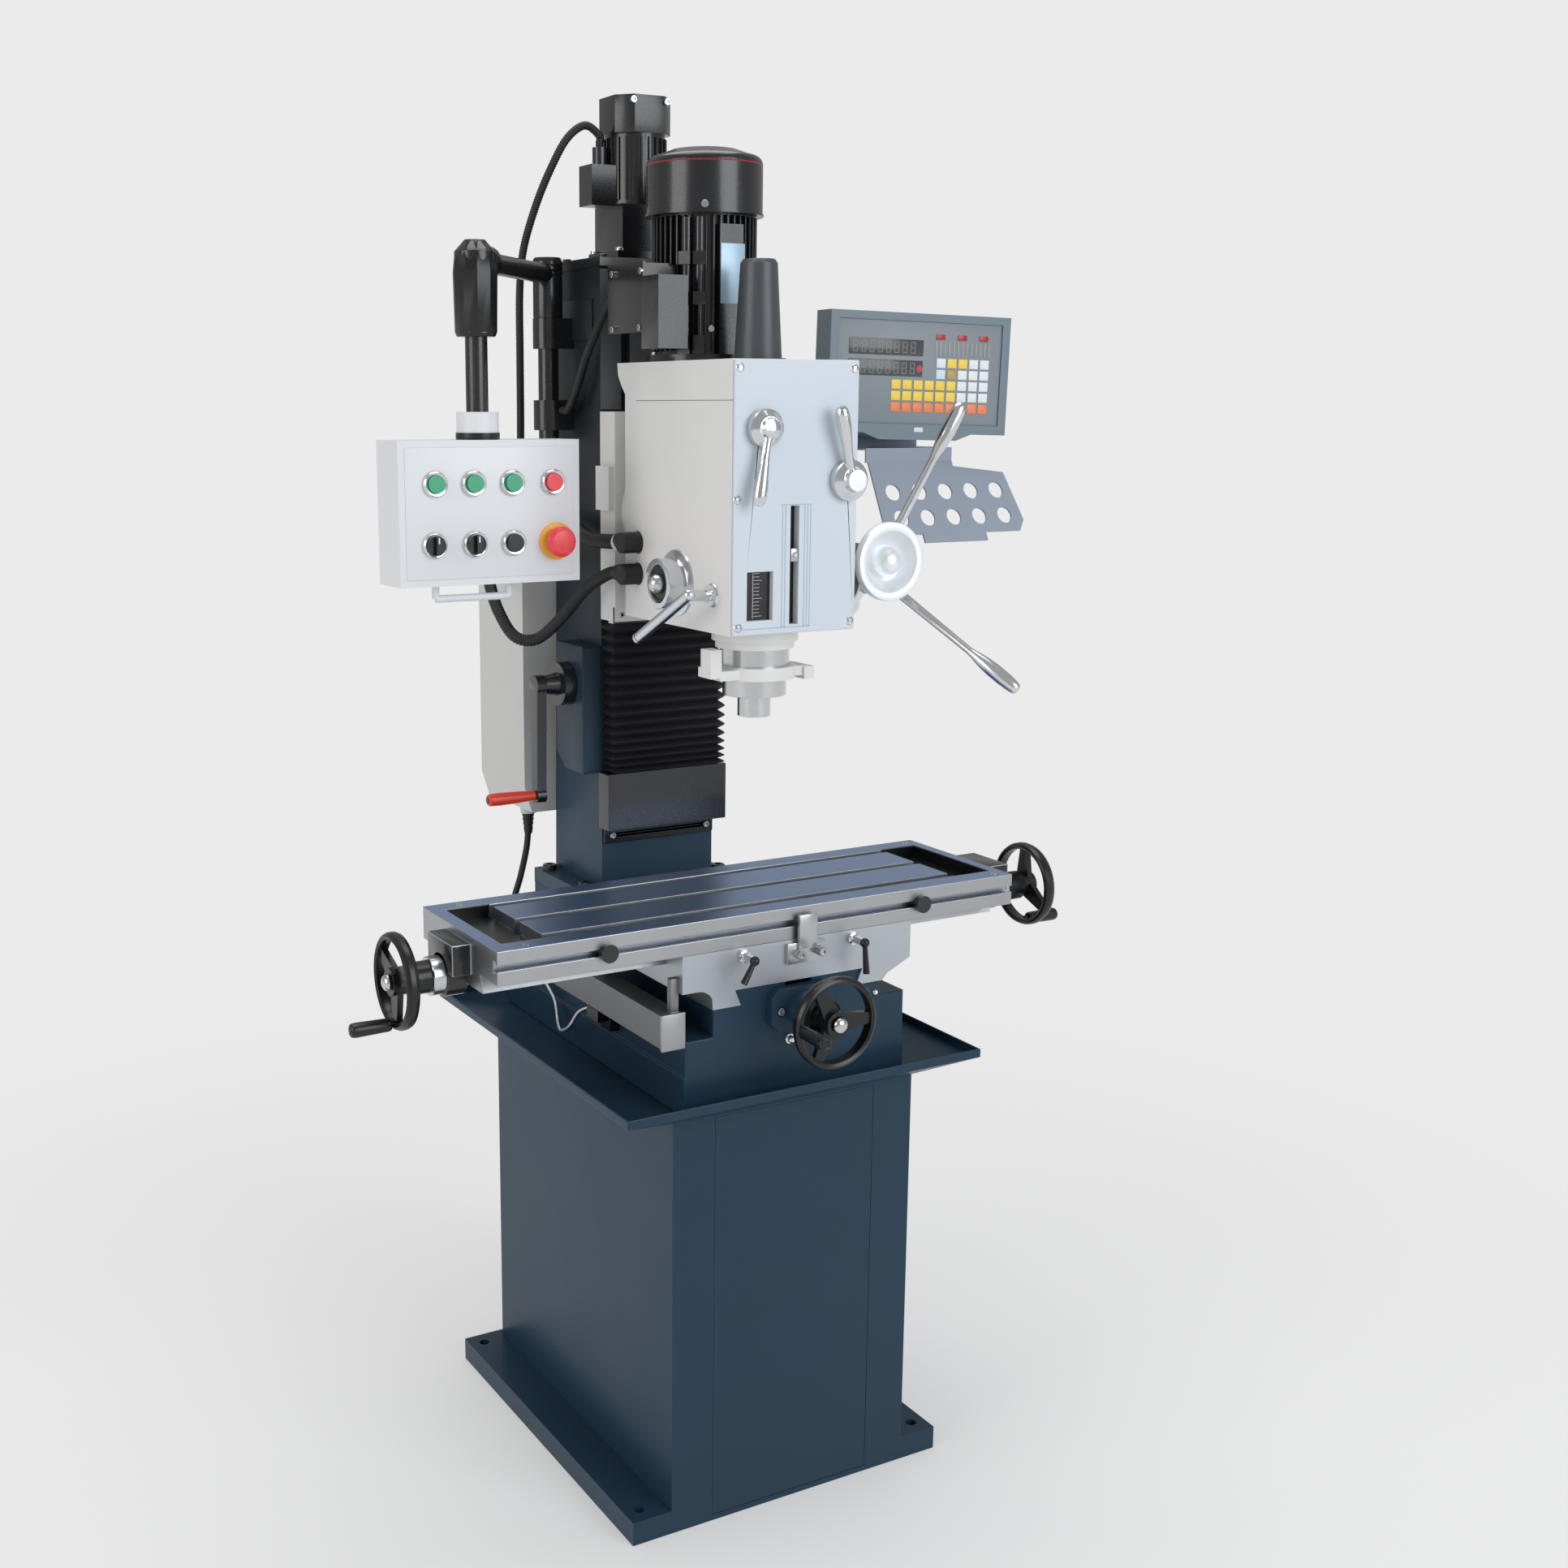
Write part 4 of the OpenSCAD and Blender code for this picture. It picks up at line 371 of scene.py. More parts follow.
def screw(form, at, axis, radius):
    """A socket-head screw: knurled head with a hexagon socket, standing on a face."""
    turned_form(form, [(0, 0.45 * radius), (0.5 * radius, 0.45 * radius), (0.52 * radius, 0.8 * radius),
                       (0.86 * radius, 0.8 * radius), (radius, 0.66 * radius), (radius, -0.2)], at, axis, 24)

def screws(name, places, material, body):
    """A piece of several screws, each given by its place, axis and radius."""
    form = bmesh.new()
    for at, axis, radius in places:
        screw(form, at, axis, radius)
    piece(name, form, material, body)


def plate(name, low, high, edge, material, body, turn=None):
    """A piece of one box."""
    form = bmesh.new()
    block(form, low, high, edge, turn)
    piece(name, form, material, body)


def spun(name, profile, at, axis, material, body, sides=48):
    """A piece of one lathe-turned shape."""
    form = bmesh.new()
    turned_form(form, profile, at, axis, sides)
    piece(name, form, material, body)
dress("stand_cabinet", slate, 0)
dress("stand_front_panel", slate, 0.001)

# Chip tray: one pressed pan with a flared wall and an upright lip, the same enamel.
dress("chip_tray", slate, 0.001)

# Base: a grey-iron casting, filled and enamelled, with a bracket for the cross screw bolted to its front,
# a polished pin below it and a ball oiler at the upper right.
dress("base_casting", slate, 0.002)
dress("y_screw_bracket", slate, 0.0015)
screws("bracket_screws", [((x, -297, 727), FRONT, 5.6) for x in (-34, 34)], zinc, "machine")
bright = bmesh.new()
turned_form(bright, [(0, 9), (3, 9), (5, 7.5), (5, 2), (7, 1.6), (7, -0.5)], (-13, -287.5, 683), FRONT)
turned_form(bright, [(0, 5), (2, 4.6), (4, 3), (5, 0), (5, -0.5)], (126, -287.5, 726), FRONT)
piece("base_pin_and_oiler", bright, polished, "machine")

# Cross screw and its wheel: cast rim with three flat spokes, painted black; a bright dial ring
# with cut graduations turns with it, and a domed screw holds the hub.
CROSS_SCREW_Z = 729
DOMED_SCREW = [(0, 6), (5, 5.4), (9, 3.4), (11, 0), (11, -1)]
dress("y_handwheel", plastic, 0.0012)
dress("y_handwheel_grip", plastic, 0.001)
bright = bmesh.new()
turned_form(bright, [(7, -12), (25.3, -12), (25.3, 0), (24, 1), (7, 1)], (0, -334, CROSS_SCREW_Z), FRONT)
turned_form(bright, DOMED_SCREW, (0, -388.4, CROSS_SCREW_Z), FRONT)
piece("cross_dial", bright, turned, "b_y_handwheel")
marks = bmesh.new()
for k in range(50):
    turn = Matrix.Translation((0, 0, CROSS_SCREW_Z)) @ Matrix.Rotation(math.tau * k / 50, 4, "Y")
    block(marks, (-0.25, -334.5, 25.1), (0.25, -329 if k % 5 else -325, 25.5), turn=turn)
piece("cross_dial_marks", marks, black, "b_y_handwheel")

# Saddle: a machined iron casting between base and table. Its stop tab is zinc-plated strip with two
# socket screws, and its gib locks are small black ball levers on chromed studs.
dress("saddle", saddle_steel, 0.0012)
dress("saddle_lock_lever_left", plastic, 0.0003)
dress("saddle_lock_lever_right", plastic, 0.0003)
bright = bmesh.new()
for x in (-90, 84):
    turned_form(bright, [(4.2, 27), (5.6, 26), (5.6, 6), (9, 5), (9, -0.3)], (x, -291, 810.9), FRONT)
piece("lock_lever_studs", bright, polished, "saddle_unit")
tab = bmesh.new()
block(tab, (-9.3, -302.4, 810), (19.3, -296.9, 856.5), 1.2)
block(tab, (-24.3, -297.3, 789.5), (35.3, -291, 818.4), 1.2)
for x in (-9, 25):
    screw(tab, (x, -305, 803.9), FRONT, 6.3)
piece("stop_tab", tab, zinc, "saddle_unit")

# Cross scale: an extruded aluminium scale housing with an anodised end cap and a reader head under it.
# The reader's lead is a thin armoured hose of bright steel strip that hangs in a loop.
dull = finish("dull_aluminium", "838487", metallic=0.8, rough=0.45, bump=0.2, stretch=(12, 1, 12))
dress("y_scale", dull, 0.001)
dress("y_scale_reader", plastic, 0.0005)
plate("scale_end_cap", (-212.4, -291.6, 697.6), (-176.6, -286.6, 747.4), 1.4, anodised, "saddle_unit")

# Table: a ground iron casting with three tee slots and a trough at each end. The long screw runs in two
# end brackets and carries a wheel at each end; the rear edge has the long scale's cover strip.
dress("table", ground, 0.0008)
dress("stop_dog_left", black, 0.0008)
dress("stop_dog_right", black, 0.0008)
for node in ("x_handwheels", "x_handwheel_grip_left", "x_handwheel_grip_right"):
    dress(node, plastic, 0.0012)
ends = bmesh.new()
for x0, x1 in ((-468.5, -441.8), (357.8, 417.5)):
    block(ends, (x0, -211.5, 815), (x1, -130.5, 856.6), 3)
    rod(ends, (x0, -171, 809), (x1, -171, 809), 28.5, sides=48)
piece("end_brackets", ends, black, "b_table")
bright = bmesh.new()
dial_ring = [(8.5, 1), (24, 1), (25.4, 0), (25.4, -15.8), (8.5, -15.8)]
for profile, left, right in ((dial_ring, -484.8, 434), (DOMED_SCREW, -540.6, 496.6)):
    turned_form(bright, profile, (left, -171, 809.1), LEFT)
    turned_form(bright, profile, (right, -171, 809.1), RIGHT)
piece("long_dials", bright, turned, "b_x_handwheels")
plate("long_scale_cover", (-408.3, -51, 835.5), (277.3, -40.6, 862.6), 1.5, anodised, "b_table")
# Black paint on the floor and the three closed walls of each trough.
paint = bmesh.new()
for x, wall in ((-422, -421.6), (280, 341)):
    block(paint, (x + 0.6, -259.4, 847.9), (x + 61.4, -80.6, 848.5))
    block(paint, (wall, -259.4, 848), (wall + 0.6, -80.6, 864.6))
    for y in (-259.6, -81):
        block(paint, (x + 0.6, y, 848), (x + 61.4, y + 0.6, 864.6))
piece("trough_paint", paint, plastic, "b_table")
plugs = bmesh.new()
for x, y in ((-396, -276), (-396, -66), (336, -276), (336, -66)):
    rod(plugs, (x, y, 864), (x, y, 866.5), 6)
piece("table_plugs", plugs, zinc, "b_table")

# Column: a tapered box casting in slate blue enamel, with painted shade that darkens it from 0.95 m up and
# makes it near black above 1.3 m; its front ways are scraped bright by hand. A thick plate closes the top,
# and a cover plate sits high on its left side.
dress("column", slate_shaded_above, 0.0015)
ways = bmesh.new()
for x in (-94, 61):
    block(ways, (x, 101.4, 1514), (x + 33, 102.4, 1708))
block(ways, (-58, 79.2, 1514), (58, 80.4, 1708))
piece("scraped_ways", ways, scraped, "machine")
plate("top_plate_bare_edge", (-96.3, 97.5, 1711.6), (96.3, 98.4, 1723.5), 0.3, bare, "machine")
plate("column_side_plate", (-96.5, 123, 1612), (-94.3, 218, 1668), 1, slate_shaded_above, "machine")
screws("column_bolts", [((x, y, 812), UP, 11) for x in (-115, 115) for y in (116, 240)]
       + [((x, y, 1724), UP, 6) for x in (-84, 84) for y in (112, 226)], black, "machine")
# Lift motor: a small flanged motor with an octagonal cast cap, a terminal box on its left and a
# corrugated conduit that arches down behind the pendant post.
dress("lift_motor", black, 0.0015)
screws("lift_motor_screws", [((x, 128, 1942), FRONT, 5) for x in (-27, 27)]
       + [((x, y, 1736), UP, 6) for x in (-46, 46) for y in (134, 212)], zinc, "machine")
ROUND = 20  # points round a hose
PER_RIB = 4  # rings along a rib
def hose(name, points, steps, radius, rib, pitch, material):
    """A corrugated hose: rounded ribs along a smooth line through points in millimetres."""
    line = route(points, steps)
    runs = [0.0]
    for a, b in zip(line, line[1:]):
        runs.append(runs[-1] + (b - a).length)
    count = max(int(runs[-1] / pitch), 2)
    form = bmesh.new()
    previous = None
    side = Vector((0.35, 0.2, 0.9)).normalized()
    for k in range(PER_RIB * count + 1):
        s = runs[-1] * k / (PER_RIB * count)
        i = min(next((j for j, r in enumerate(runs) if r > s), len(runs) - 1), len(runs) - 1)
        t = (s - runs[i - 1]) / max(runs[i] - runs[i - 1], 1e-6)
        at = line[i - 1].lerp(line[i], t)
        along = (line[min(i + 1, len(line) - 1)] - line[max(i - 2, 0)]).normalized()
        side = (side - along * side.dot(along)).normalized()
        up = along.cross(side)
        r = radius - rib * (0.5 - 0.5 * math.cos(math.tau * k / PER_RIB))
        new = [form.verts.new(at + r * (math.cos(a) * side + math.sin(a) * up))
               for a in (math.tau * n / ROUND for n in range(ROUND))]
        if previous:
            for n in range(ROUND):
                form.faces.new((previous[n], previous[(n + 1) % ROUND], new[(n + 1) % ROUND], new[n]))
        else:
            form.faces.new(new[::-1])
        previous = new
    form.faces.new(previous)
    return piece(name, form, material, None, 60)


lift_hose = hose("lift_motor_hose",
                 [(-57, 173, 1880), (-57, 173, 1888), (-57, 173, 1896), (-80, 173, 1909), (-107, 176, 1890),
                  (-126, 190, 1850), (-140, 212, 1800), (-152, 230, 1740), (-156, 236, 1681),
                  (-153, 244, 1599), (-144, 264, 1520), (-136, 282, 1480), (-134, 287, 1458),
                  (-134, 287, 1449), (-134, 287, 1440)], 8, 6, 0.9, 3.6, rubber)
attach(lift_hose, "machine")
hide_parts("lift_motor_conduit")

reader_hose = hose("reader_armoured_lead",
                   [(-195, -72, 691), (-196, -60, 690), (-204, -36, 676), (-212, -20, 650), (-210, 10, 636),
                    (-200, 40, 640), (-190, 70, 660), (-186, 110, 676), (-183, 150, 682),
                    (-182, 178, 683)], 8, 3.1, 0.4, 1.6, zinc)
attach(reader_hose, "machine")

# Lift crank: a bevel gearbox on the column's left with a cranked handle and a red revolving grip.
dress("crank_gearbox", slate_shaded_above, 0.003)
dress("z_crank", black, 0.0012)
dress("z_crank_grip", finish("red_moulded_plastic", "d8402f", rough=0.3, bump=0.1, scale=400), 0.0005)
dress("lift_screw", turned, 0.0005)

# Way cover: coated cloth pleats stiffened inside, between a black top plate on the slide and a
# sheet-metal box at the foot. The pleats close up towards the bottom.
dress("bellows_lower_cover", black, 0.0012)
COVER_TOP, COVER_HEIGHT = 1212, 222
FOLDS, PER_FOLD = 16, 8
pleats = bmesh.new()
previous = None
for k in range(FOLDS * PER_FOLD + 1):
    u = k / (FOLDS * PER_FOLD)
    z = COVER_TOP - COVER_HEIGHT * (1.15 * u - 0.15 * u ** 4)
    phase = (k % PER_FOLD) / PER_FOLD
    deep = 0.4 + 8.4 * abs(2 * phase - 1) ** 1.25
    x, y = 96 - deep, 62 + deep
    ring = [(-x, 101.5), (-x, y + 5), (-x + 1.5, y + 1.5), (-x + 5, y), (x - 5, y), (x - 1.5, y + 1.5),
            (x, y + 5), (x, 101.5)]
    new = [pleats.verts.new((a, b, z)) for a, b in ring]
    if previous:
        for n in range(7):
            pleats.faces.new((previous[n], new[n], new[n + 1], previous[n + 1]))
    previous = new
cover = piece("way_cover_pleats", pleats, cloth, None, 25)
thick = cover.modifiers.new("cloth_thickness", "SOLIDIFY")
thick.thickness = 0.0008
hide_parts("bellows")
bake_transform(cover)
plate("way_cover_plate", (-96.5, 58.8, 1212.2), (96.5, 61.5, 1236), 1, black, "b_head_slide")
screws("way_cover_screws", [((x, 58.8, 1225), FRONT, 4) for x in (-84, 84)], zinc, "b_head_slide")
screws("lower_cover_screws", [((x, 97, 892), FRONT, 5) for x in (-80, 80)], zinc, "machine")
# Electrical cabinet: folded sheet with a hinged door at the back, powder coated light grey.
cabinet_grey = finish("grey_powder_coat", "cbcbca", rough=0.5, bump=0.4, scale=600, tone=0.03)
dress("electrical_cabinet", cabinet_grey, 0.001)
dress("cabinet_door", cabinet_grey, 0.001)
dress("mains_plug", rubber, 0.001)
spun("mains_strain_relief", [(9.6, 0), (9.4, 6), (8.2, 7), (8.2, 9), (9, 10), (8.7, 13), (7.6, 14), (7.6, 16),
                             (8.2, 17), (7.9, 20), (6.9, 21), (6.9, 23), (7.4, 24), (7, 28), (6.2, 34),
                             (5.1, 34)], (-123, 300, 893), (0, 0, -1), rubber, "machine", 40)
lead.data.materials.append(rubber)
# Head slide and head: grey-iron castings in light grey enamel. The front is a plate in a bluish silver
# enamel, fixed with domed screws; it has the depth slot with its pointer and the depth window.
dress("head_slide", grey, 0.002)
dress("head_housing", grey, 0.002)
dress("head_front_panel", silver_blue, 0.0008)
plate("head_side_seam", (-95.15, -261, 1525.6), (-94.8, -5, 1526.3), 0, dark_grey, "head")
PANEL_Y = -264
domed = bmesh.new()
for x, z in ((-86.6, 1566), (87, 1566), (87, 1239), (-86, 1239), (-89, 1402)):
    turned_form(domed, [(0, 2.2), (2.4, 2.1), (2.4, 1), (3.4, 1), (3.6, 2), (5.2, 1.2), (6, -0.2)],
                (x, PANEL_Y, z), FRONT)
piece("panel_screws", domed, polished, "head")
dark = bmesh.new()
block(dark, (-7.9, -252, 1240.2), (4.9, -250, 1392.8))
block(dark, (-72.9, -256, 1247.2), (-34.1, -254, 1309.8))
piece("panel_recesses", dark, plastic, "head")
lines = bmesh.new()
block(lines, (-60.2, -256.4, 1249), (-59.6, -255.9, 1308))
for k in range(13):
    block(lines, (-60, -256.4, 1252 + 4.6 * k), (-50 if k % 5 else -46, -255.9, 1252.5 + 4.6 * k))
piece("depth_graduations", lines, finish("white_scale_paint", "d8d8d6", rough=0.5), "quill_unit")
grooves = bmesh.new()
for x in (-21, -16.5, 13, 17.5, 22):
    block(grooves, (x, PANEL_Y - 0.35, 1236), (x + 0.9, PANEL_Y, 1394))
block(grooves, (-92, PANEL_Y - 0.35, 1236), (24, PANEL_Y, 1237))
block(grooves, (-24, PANEL_Y - 0.35, 1394), (24, PANEL_Y, 1394.8))
piece("panel_printed_lines", grooves, finish("blue_screen_print", "a9bccd", rough=0.4), "head")
pointer = bmesh.new()
block(pointer, (-7, -264.5, 1321), (4, -255, 1338), 0.8)
turned_form(pointer, [(0, 2), (2.6, 2), (3.6, 1.2), (4, -0.2)], (-1.5, -264.5, 1329.5), FRONT, 24)
piece("depth_pointer", pointer, zinc, "quill_unit")

# Speed levers: chromed, with dished hubs and tear-drop handles. The quill's lock lever is chromed too.
HANDLE = [(0, 99), (5, 98), (8, 94), (9.2, 86), (9.3, 74), (7.8, 56), (5.6, 38), (5.2, 26), (6, 8), (0, 6)]
for node, at, tip, hub in (("speed_lever_upper", (-52, 1491), (-69, 1407), 24),
                           ("speed_lever_lower", (77.5, 1424), (54.5, 1508), 26)):
    dress(node, polished, 0.001)
    lever = bmesh.new()
    dished = [(0, 14), (6, 14.4), (hub - 12, 12.5), (hub - 10, 8), (hub - 7, 3.6), (hub + 0.5, 0.6),
              (hub + 0.5, -9.5)]
    turned_form(lever, dished, (at[0], -274, at[1]), FRONT)
    away = Vector((tip[0] - at[0], -6, tip[1] - at[1]))
    turned_form(lever, HANDLE, (at[0], -279, at[1]), away, 32)
    piece(node + "_chromed", lever, polished, "b_" + node)
dress("quill_lock_lever", polished, 0)
ring = bmesh.new()
turned_form(ring, [(0, 7), (8, 7), (12, 4), (15.5, 1), (16, -0.2)], (-95, -213, 1277), LEFT)
away = Vector((-16, 107, -66)).normalized()
at = Vector((-155, -122, 1215))
turned_form(ring, [(6, -4), (6, 1.2), (7, 2), (8.1, 1), (8.1, -3)], at, away, 32)
piece("lock_lever_flange", ring, polished, "b_quill_lock_lever")

# Return spring drum: a polished steel cup with a black cover and a domed nut.
FEED_Y, FEED_Z = -121, 1286
spun("spring_drum", [(26.4, 24), (26.4, 30.8), (33, 30.8), (33.6, 30), (33.6, 4), (36, 3), (44, 2.5),
                     (45, -0.2)], (-95, FEED_Y, FEED_Z), LEFT, polished, "head")
spun("spring_drum_cover", [(0, 2), (20, 2), (22, 4), (24, 4), (26.2, 1), (26.2, -1)],
     (-120, FEED_Y, FEED_Z), LEFT, plastic, "b_feed_hub")
spun("spring_drum_nut", [(0, 13), (5, 12.2), (9, 10), (12.5, 5), (13.5, -2)], (-125, FEED_Y, FEED_Z), LEFT,
     turned, "b_feed_hub")
# Hoses at the head's left: moulded rubber boots and corrugated hoses that run back to the cabinet.
boots = bmesh.new()
for z in (1333, 1289.5):
    turned_form(boots, [(0, 29.4), (12, 29.4), (14.4, 27), (14.6, 20), (14.6, 2), (16, -0.3)],
                (-95, -11, z), LEFT, 40)
    turned_form(boots, [(0, 39), (9.5, 38), (11.4, 32), (13, 20), (13.4, 0), (0, -2)], (-109, -11, z),
                (0, 1, 0), 40)
piece("hose_boots", boots, rubber, "head")
for name, points, r in (
        ("upper_head_hose", [(-109, 20, 1332), (-109, 27, 1332), (-109, 34, 1332), (-111, 50, 1331),
                             (-116, 90, 1332), (-122, 140, 1346), (-135, 200, 1352), (-150, 245, 1350),
                             (-172, 280, 1346), (-186, 305, 1340), (-182, 325, 1333), (-168, 330, 1330),
                             (-157, 330, 1330), (-146.3, 330, 1330)], 10.5),
        ("lower_head_hose", [(-108, 16, 1289), (-108, 23, 1289), (-108, 30, 1289), (-112, 54, 1283),
                             (-125, 95, 1258), (-150, 125, 1215), (-178, 145, 1186), (-206, 160, 1190),
                             (-222, 180, 1225), (-220, 215, 1262), (-204, 255, 1279), (-194, 290, 1281),
                             (-182, 308, 1280), (-164, 314, 1280), (-155, 314, 1280),
                             (-146.3, 314, 1280)], 9)):
    made = hose(name, points, 12, r, 0.9, 4.2, rubber)
    if name.startswith("upper"):
        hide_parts("head_hoses")
    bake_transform(made)

# Main motor: a flanged motor with cast ribs, two clamped bars at its front left, a satin fan cowl with a red
# ring round its top edge, and a terminal box with a flat lid on its left.
dress("main_motor", black, 0.001)
dress("spindle_cap", dark_grey, 0.0015)
MOTOR_Y = -26
spun("cowl_ring", [(76, 1834), (78.6, 1834.6), (79.3, 1836.6), (78.6, 1838.6), (76, 1839.6)],
     (0, MOTOR_Y, 0), UP, finish("dark_red_paint", "8f1f2a", rough=0.35), "head", 72)
FINS = 44
fins = bmesh.new()
for k in range(FINS):
    turn = Matrix.Translation((0, MOTOR_Y, 0)) @ Matrix.Rotation(math.tau * (k + 0.5) / FINS, 4, "Z")
    block(fins, (61, -1.4, 1592), (71.6, 1.4, 1768), 0.7, turn)
piece("motor_ribs", fins, black, "head")
fixings = [((-116, y, z), LEFT, 4.4) for y, z in ((-60, 1694), (21, 1694), (-57, 1621), (20, 1621))]
for angle, out, z, size in ((-120, 79, 1780, 5), (-149, 73, 1646, 3.4), (-113, 73, 1620, 4.4)):
    away = Vector((math.cos(math.radians(angle)), math.sin(math.radians(angle)), 0))
    fixings.append(((away.x * out, away.y * out + MOTOR_Y, z), away, size))
for k in range(4):
    turn = math.radians(45 + 90 * k)
    fixings.append(((69.6 * math.cos(turn), MOTOR_Y + 69.6 * math.sin(turn), 1587), UP, 6))
screws("motor_screws", fixings, zinc, "head")
plate("motor_blank_plate", (-17, -99.4, 1653), (20, -98.3, 1731), 0.4,
      finish("pale_blue_plate", "a9c3d6", metallic=0.3, rough=0.35), "head")
spun("cowl_rim", [(74, 3), (80.5, 3), (80.5, 0), (74, 0)], (0, MOTOR_Y, 1770), UP, black, "head", 72)
made = hose("motor_hose", [(-100, 36, 1662), (-100, 42, 1662), (-100, 49, 1662), (-103, 68, 1649),
                           (-106, 94, 1618), (-109, 120, 1583), (-111, 140, 1548), (-112.5, 156, 1525),
                           (-113, 167, 1514), (-113, 176, 1512), (-113, 184.7, 1512)],
            12, 6.4, 0.9, 3.4, rubber)
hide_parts("motor_conduit")
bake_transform(made)

# Quill and spindle: ground and polished steel, with a light grey cast stop plate clamped round the quill.
dress("quill", turned, 0.0006)
dress("quill_stop_plate", grey, 0.0015)
dress("spindle", turned, 0.0006)

# Feed: chromed hub with three handles, each a tapered bar with a drop-shaped grip, a dark worm housing, and a
# fine-feed wheel spun from aluminium: a deep dish with a flat rim and a domed boss.
hub = bmesh.new()
rod(hub, (-124, FEED_Y, FEED_Z), (214, FEED_Y, FEED_Z), 12)
turned_form(hub, [(0, 212.4), (29, 212.4), (30, 213.4), (30, 242.4), (29, 243.6), (20, 251.4), (0, 251.4)],
            (0, FEED_Y, FEED_Z), RIGHT)
lean = math.radians(25.7)
for k in range(3):
    turn = math.radians(99.8 + 120 * k)
    along = Vector((math.sin(lean), math.cos(lean) * math.cos(turn), math.cos(lean) * math.sin(turn)))
    turned_form(hub, [(0, 12), (7.4, 12), (7, 40), (6.2, 100), (5.5, 178), (6.3, 185), (8.2, 195), (10, 207),
                      (11, 222), (10.9, 238), (10.2, 251), (9.2, 259), (7.4, 264), (4.4, 266.4), (0, 267)],
                (227.4, FEED_Y, FEED_Z), along, 36)
made = piece("feed_hub_chromed", hub, polished, "b_feed_hub")
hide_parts("feed_hub")
WHEEL_X, WHEEL_Z = 192, 1309
dish = bmesh.new()
turned_form(dish, [(0, -20), (20, -20), (36, -14), (52.6, -1.6), (53.8, 0), (54, 1.5), (54, 10), (53, 11.7),
                   (52, 12), (44, 12), (42.4, 11.4), (41.3, 9.6), (37, 1.5), (32, -5), (27, -8.6),
                   (21.4, -10), (20.4, -9), (20.2, -4), (19.6, 2), (18, 7.5), (15, 12), (10.8, 15.4),
                   (5.6, 17.4), (0, 18)], (WHEEL_X, -200, WHEEL_Z), FRONT, 72)
rod(dish, (WHEEL_X, -139, WHEEL_Z), (WHEEL_X, -182, WHEEL_Z), 6)
spun_metal = finish("spun_aluminium", "f0f3f6", metallic=0.55, rough=0.4, tone=0.01)
made = piece("fine_feed_dish", dish, spun_metal, "b_fine_feed_wheel")
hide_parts("fine_feed_wheel")
housing = bmesh.new()
turned_form(housing, [(13, 82.4), (38, 82.4), (42.6, 78), (42.6, 16), (50.5, 14.5), (50.5, -0.3)],
            (95, FEED_Y, FEED_Z), RIGHT, 64)
turned_form(housing, [(7, 34), (17, 34), (20.6, 30), (20.6, -30), (7, -30)], (WHEEL_X, -125, WHEEL_Z),
            FRONT, 40)
piece("worm_housing", housing, dark_grey, "head")

# Pendant: gloss black tubes with a clamped post, a moulded elbow and a white and black collar
# on a painted sheet box with chromed bezels.
dress("pendant_post", black, 0.0015)
dress("pendant_arm", black, 0.0015)
white = finish("white_enamel", "dddfe3", rough=0.36, bump=0.15, scale=500, tone=0.02)
dress("pendant_box", white, 0.002)
DROP_X, DROP_Y = -321, 18  # axis of the tube that the box hangs on
BOX_Y = -20  # front face of the box
UPPER_ROW, LOWER_ROW = 1419, 1340
elbow = bmesh.new()
turned_form(elbow, [(15, 1608), (26, 1608), (28.5, 1614), (30, 1690), (27, 1716), (14, 1731), (0, 1732)],
            (DROP_X, DROP_Y, 0), UP, 10)
turned_form(elbow, [(14.3, 0), (20, 0), (21.5, 4), (22, 34), (18, 46)], (-288, 49, 1705),
            (-0.7, -0.66, 0), 24)
piece("pendant_elbow", elbow, plastic, "b_pendant_arm")
spun("pendant_sleeve", [(15, 1644), (21, 1644), (21.3, 1646), (21.3, 1700), (20, 1703), (22, 1704),
                        (22, 1708), (20, 1709), (22, 1711), (22, 1715), (20, 1716), (22, 1718), (22, 1723),
                        (19, 1728), (0, 1729)], (-125, 207, 0), UP, black, "b_pendant_arm")
spun("pendant_collar_ring", [(15.2, 1475), (28.9, 1475), (29.2, 1477), (29.2, 1484), (15.2, 1484)],
     (DROP_X, DROP_Y, 0), UP, plastic, "b_pendant_box")
plate("pendant_panel", (-441, -21.6, 1295), (-199, -19, 1466), 1.4, white, "b_pendant_box")
rims = bmesh.new()
for x, z in ((-400, UPPER_ROW), (-345.7, UPPER_ROW), (-290, UPPER_ROW), (-230.7, UPPER_ROW),
             (-289, LOWER_ROW), (-402, LOWER_ROW), (-345, LOWER_ROW)):
    turned_form(rims, [(12.2, 7.6), (15, 8.2), (16.5, 7), (17.5, 4), (17.5, -1), (12.2, -1)], (x, BOX_Y, z),
                FRONT, 40)
piece("pendant_bezels", rims, polished, "b_pendant_box")
spun("stop_collar", [(7, 5.3), (22, 5.3), (25, 4), (25, -1), (7, -1)], (-226, BOX_Y, LOWER_ROW), FRONT,
     finish("yellow_moulded_plastic", "f2b43c", rough=0.35), "b_pendant_box", 40)
green = finish("green_moulded_plastic", "2fa274", rough=0.25, tone=0.03)
red = finish("signal_red_plastic", "e8434b", rough=0.25, tone=0.03)
for k, material in enumerate((green, green, green, red, plastic)):
    dress("push_button_%d" % (k + 1), material, 0.001)
dress("emergency_stop", red, 0.001)
for k, x in enumerate((-402, -345)):
    node = "selector_%d" % (k + 1)
    dress(node, plastic, 0.001)
    plate(node + "_pointer", (x - 0.9, -38.4, 1343), (x + 0.9, -37.9, 1351), 0, white, "b_" + node)

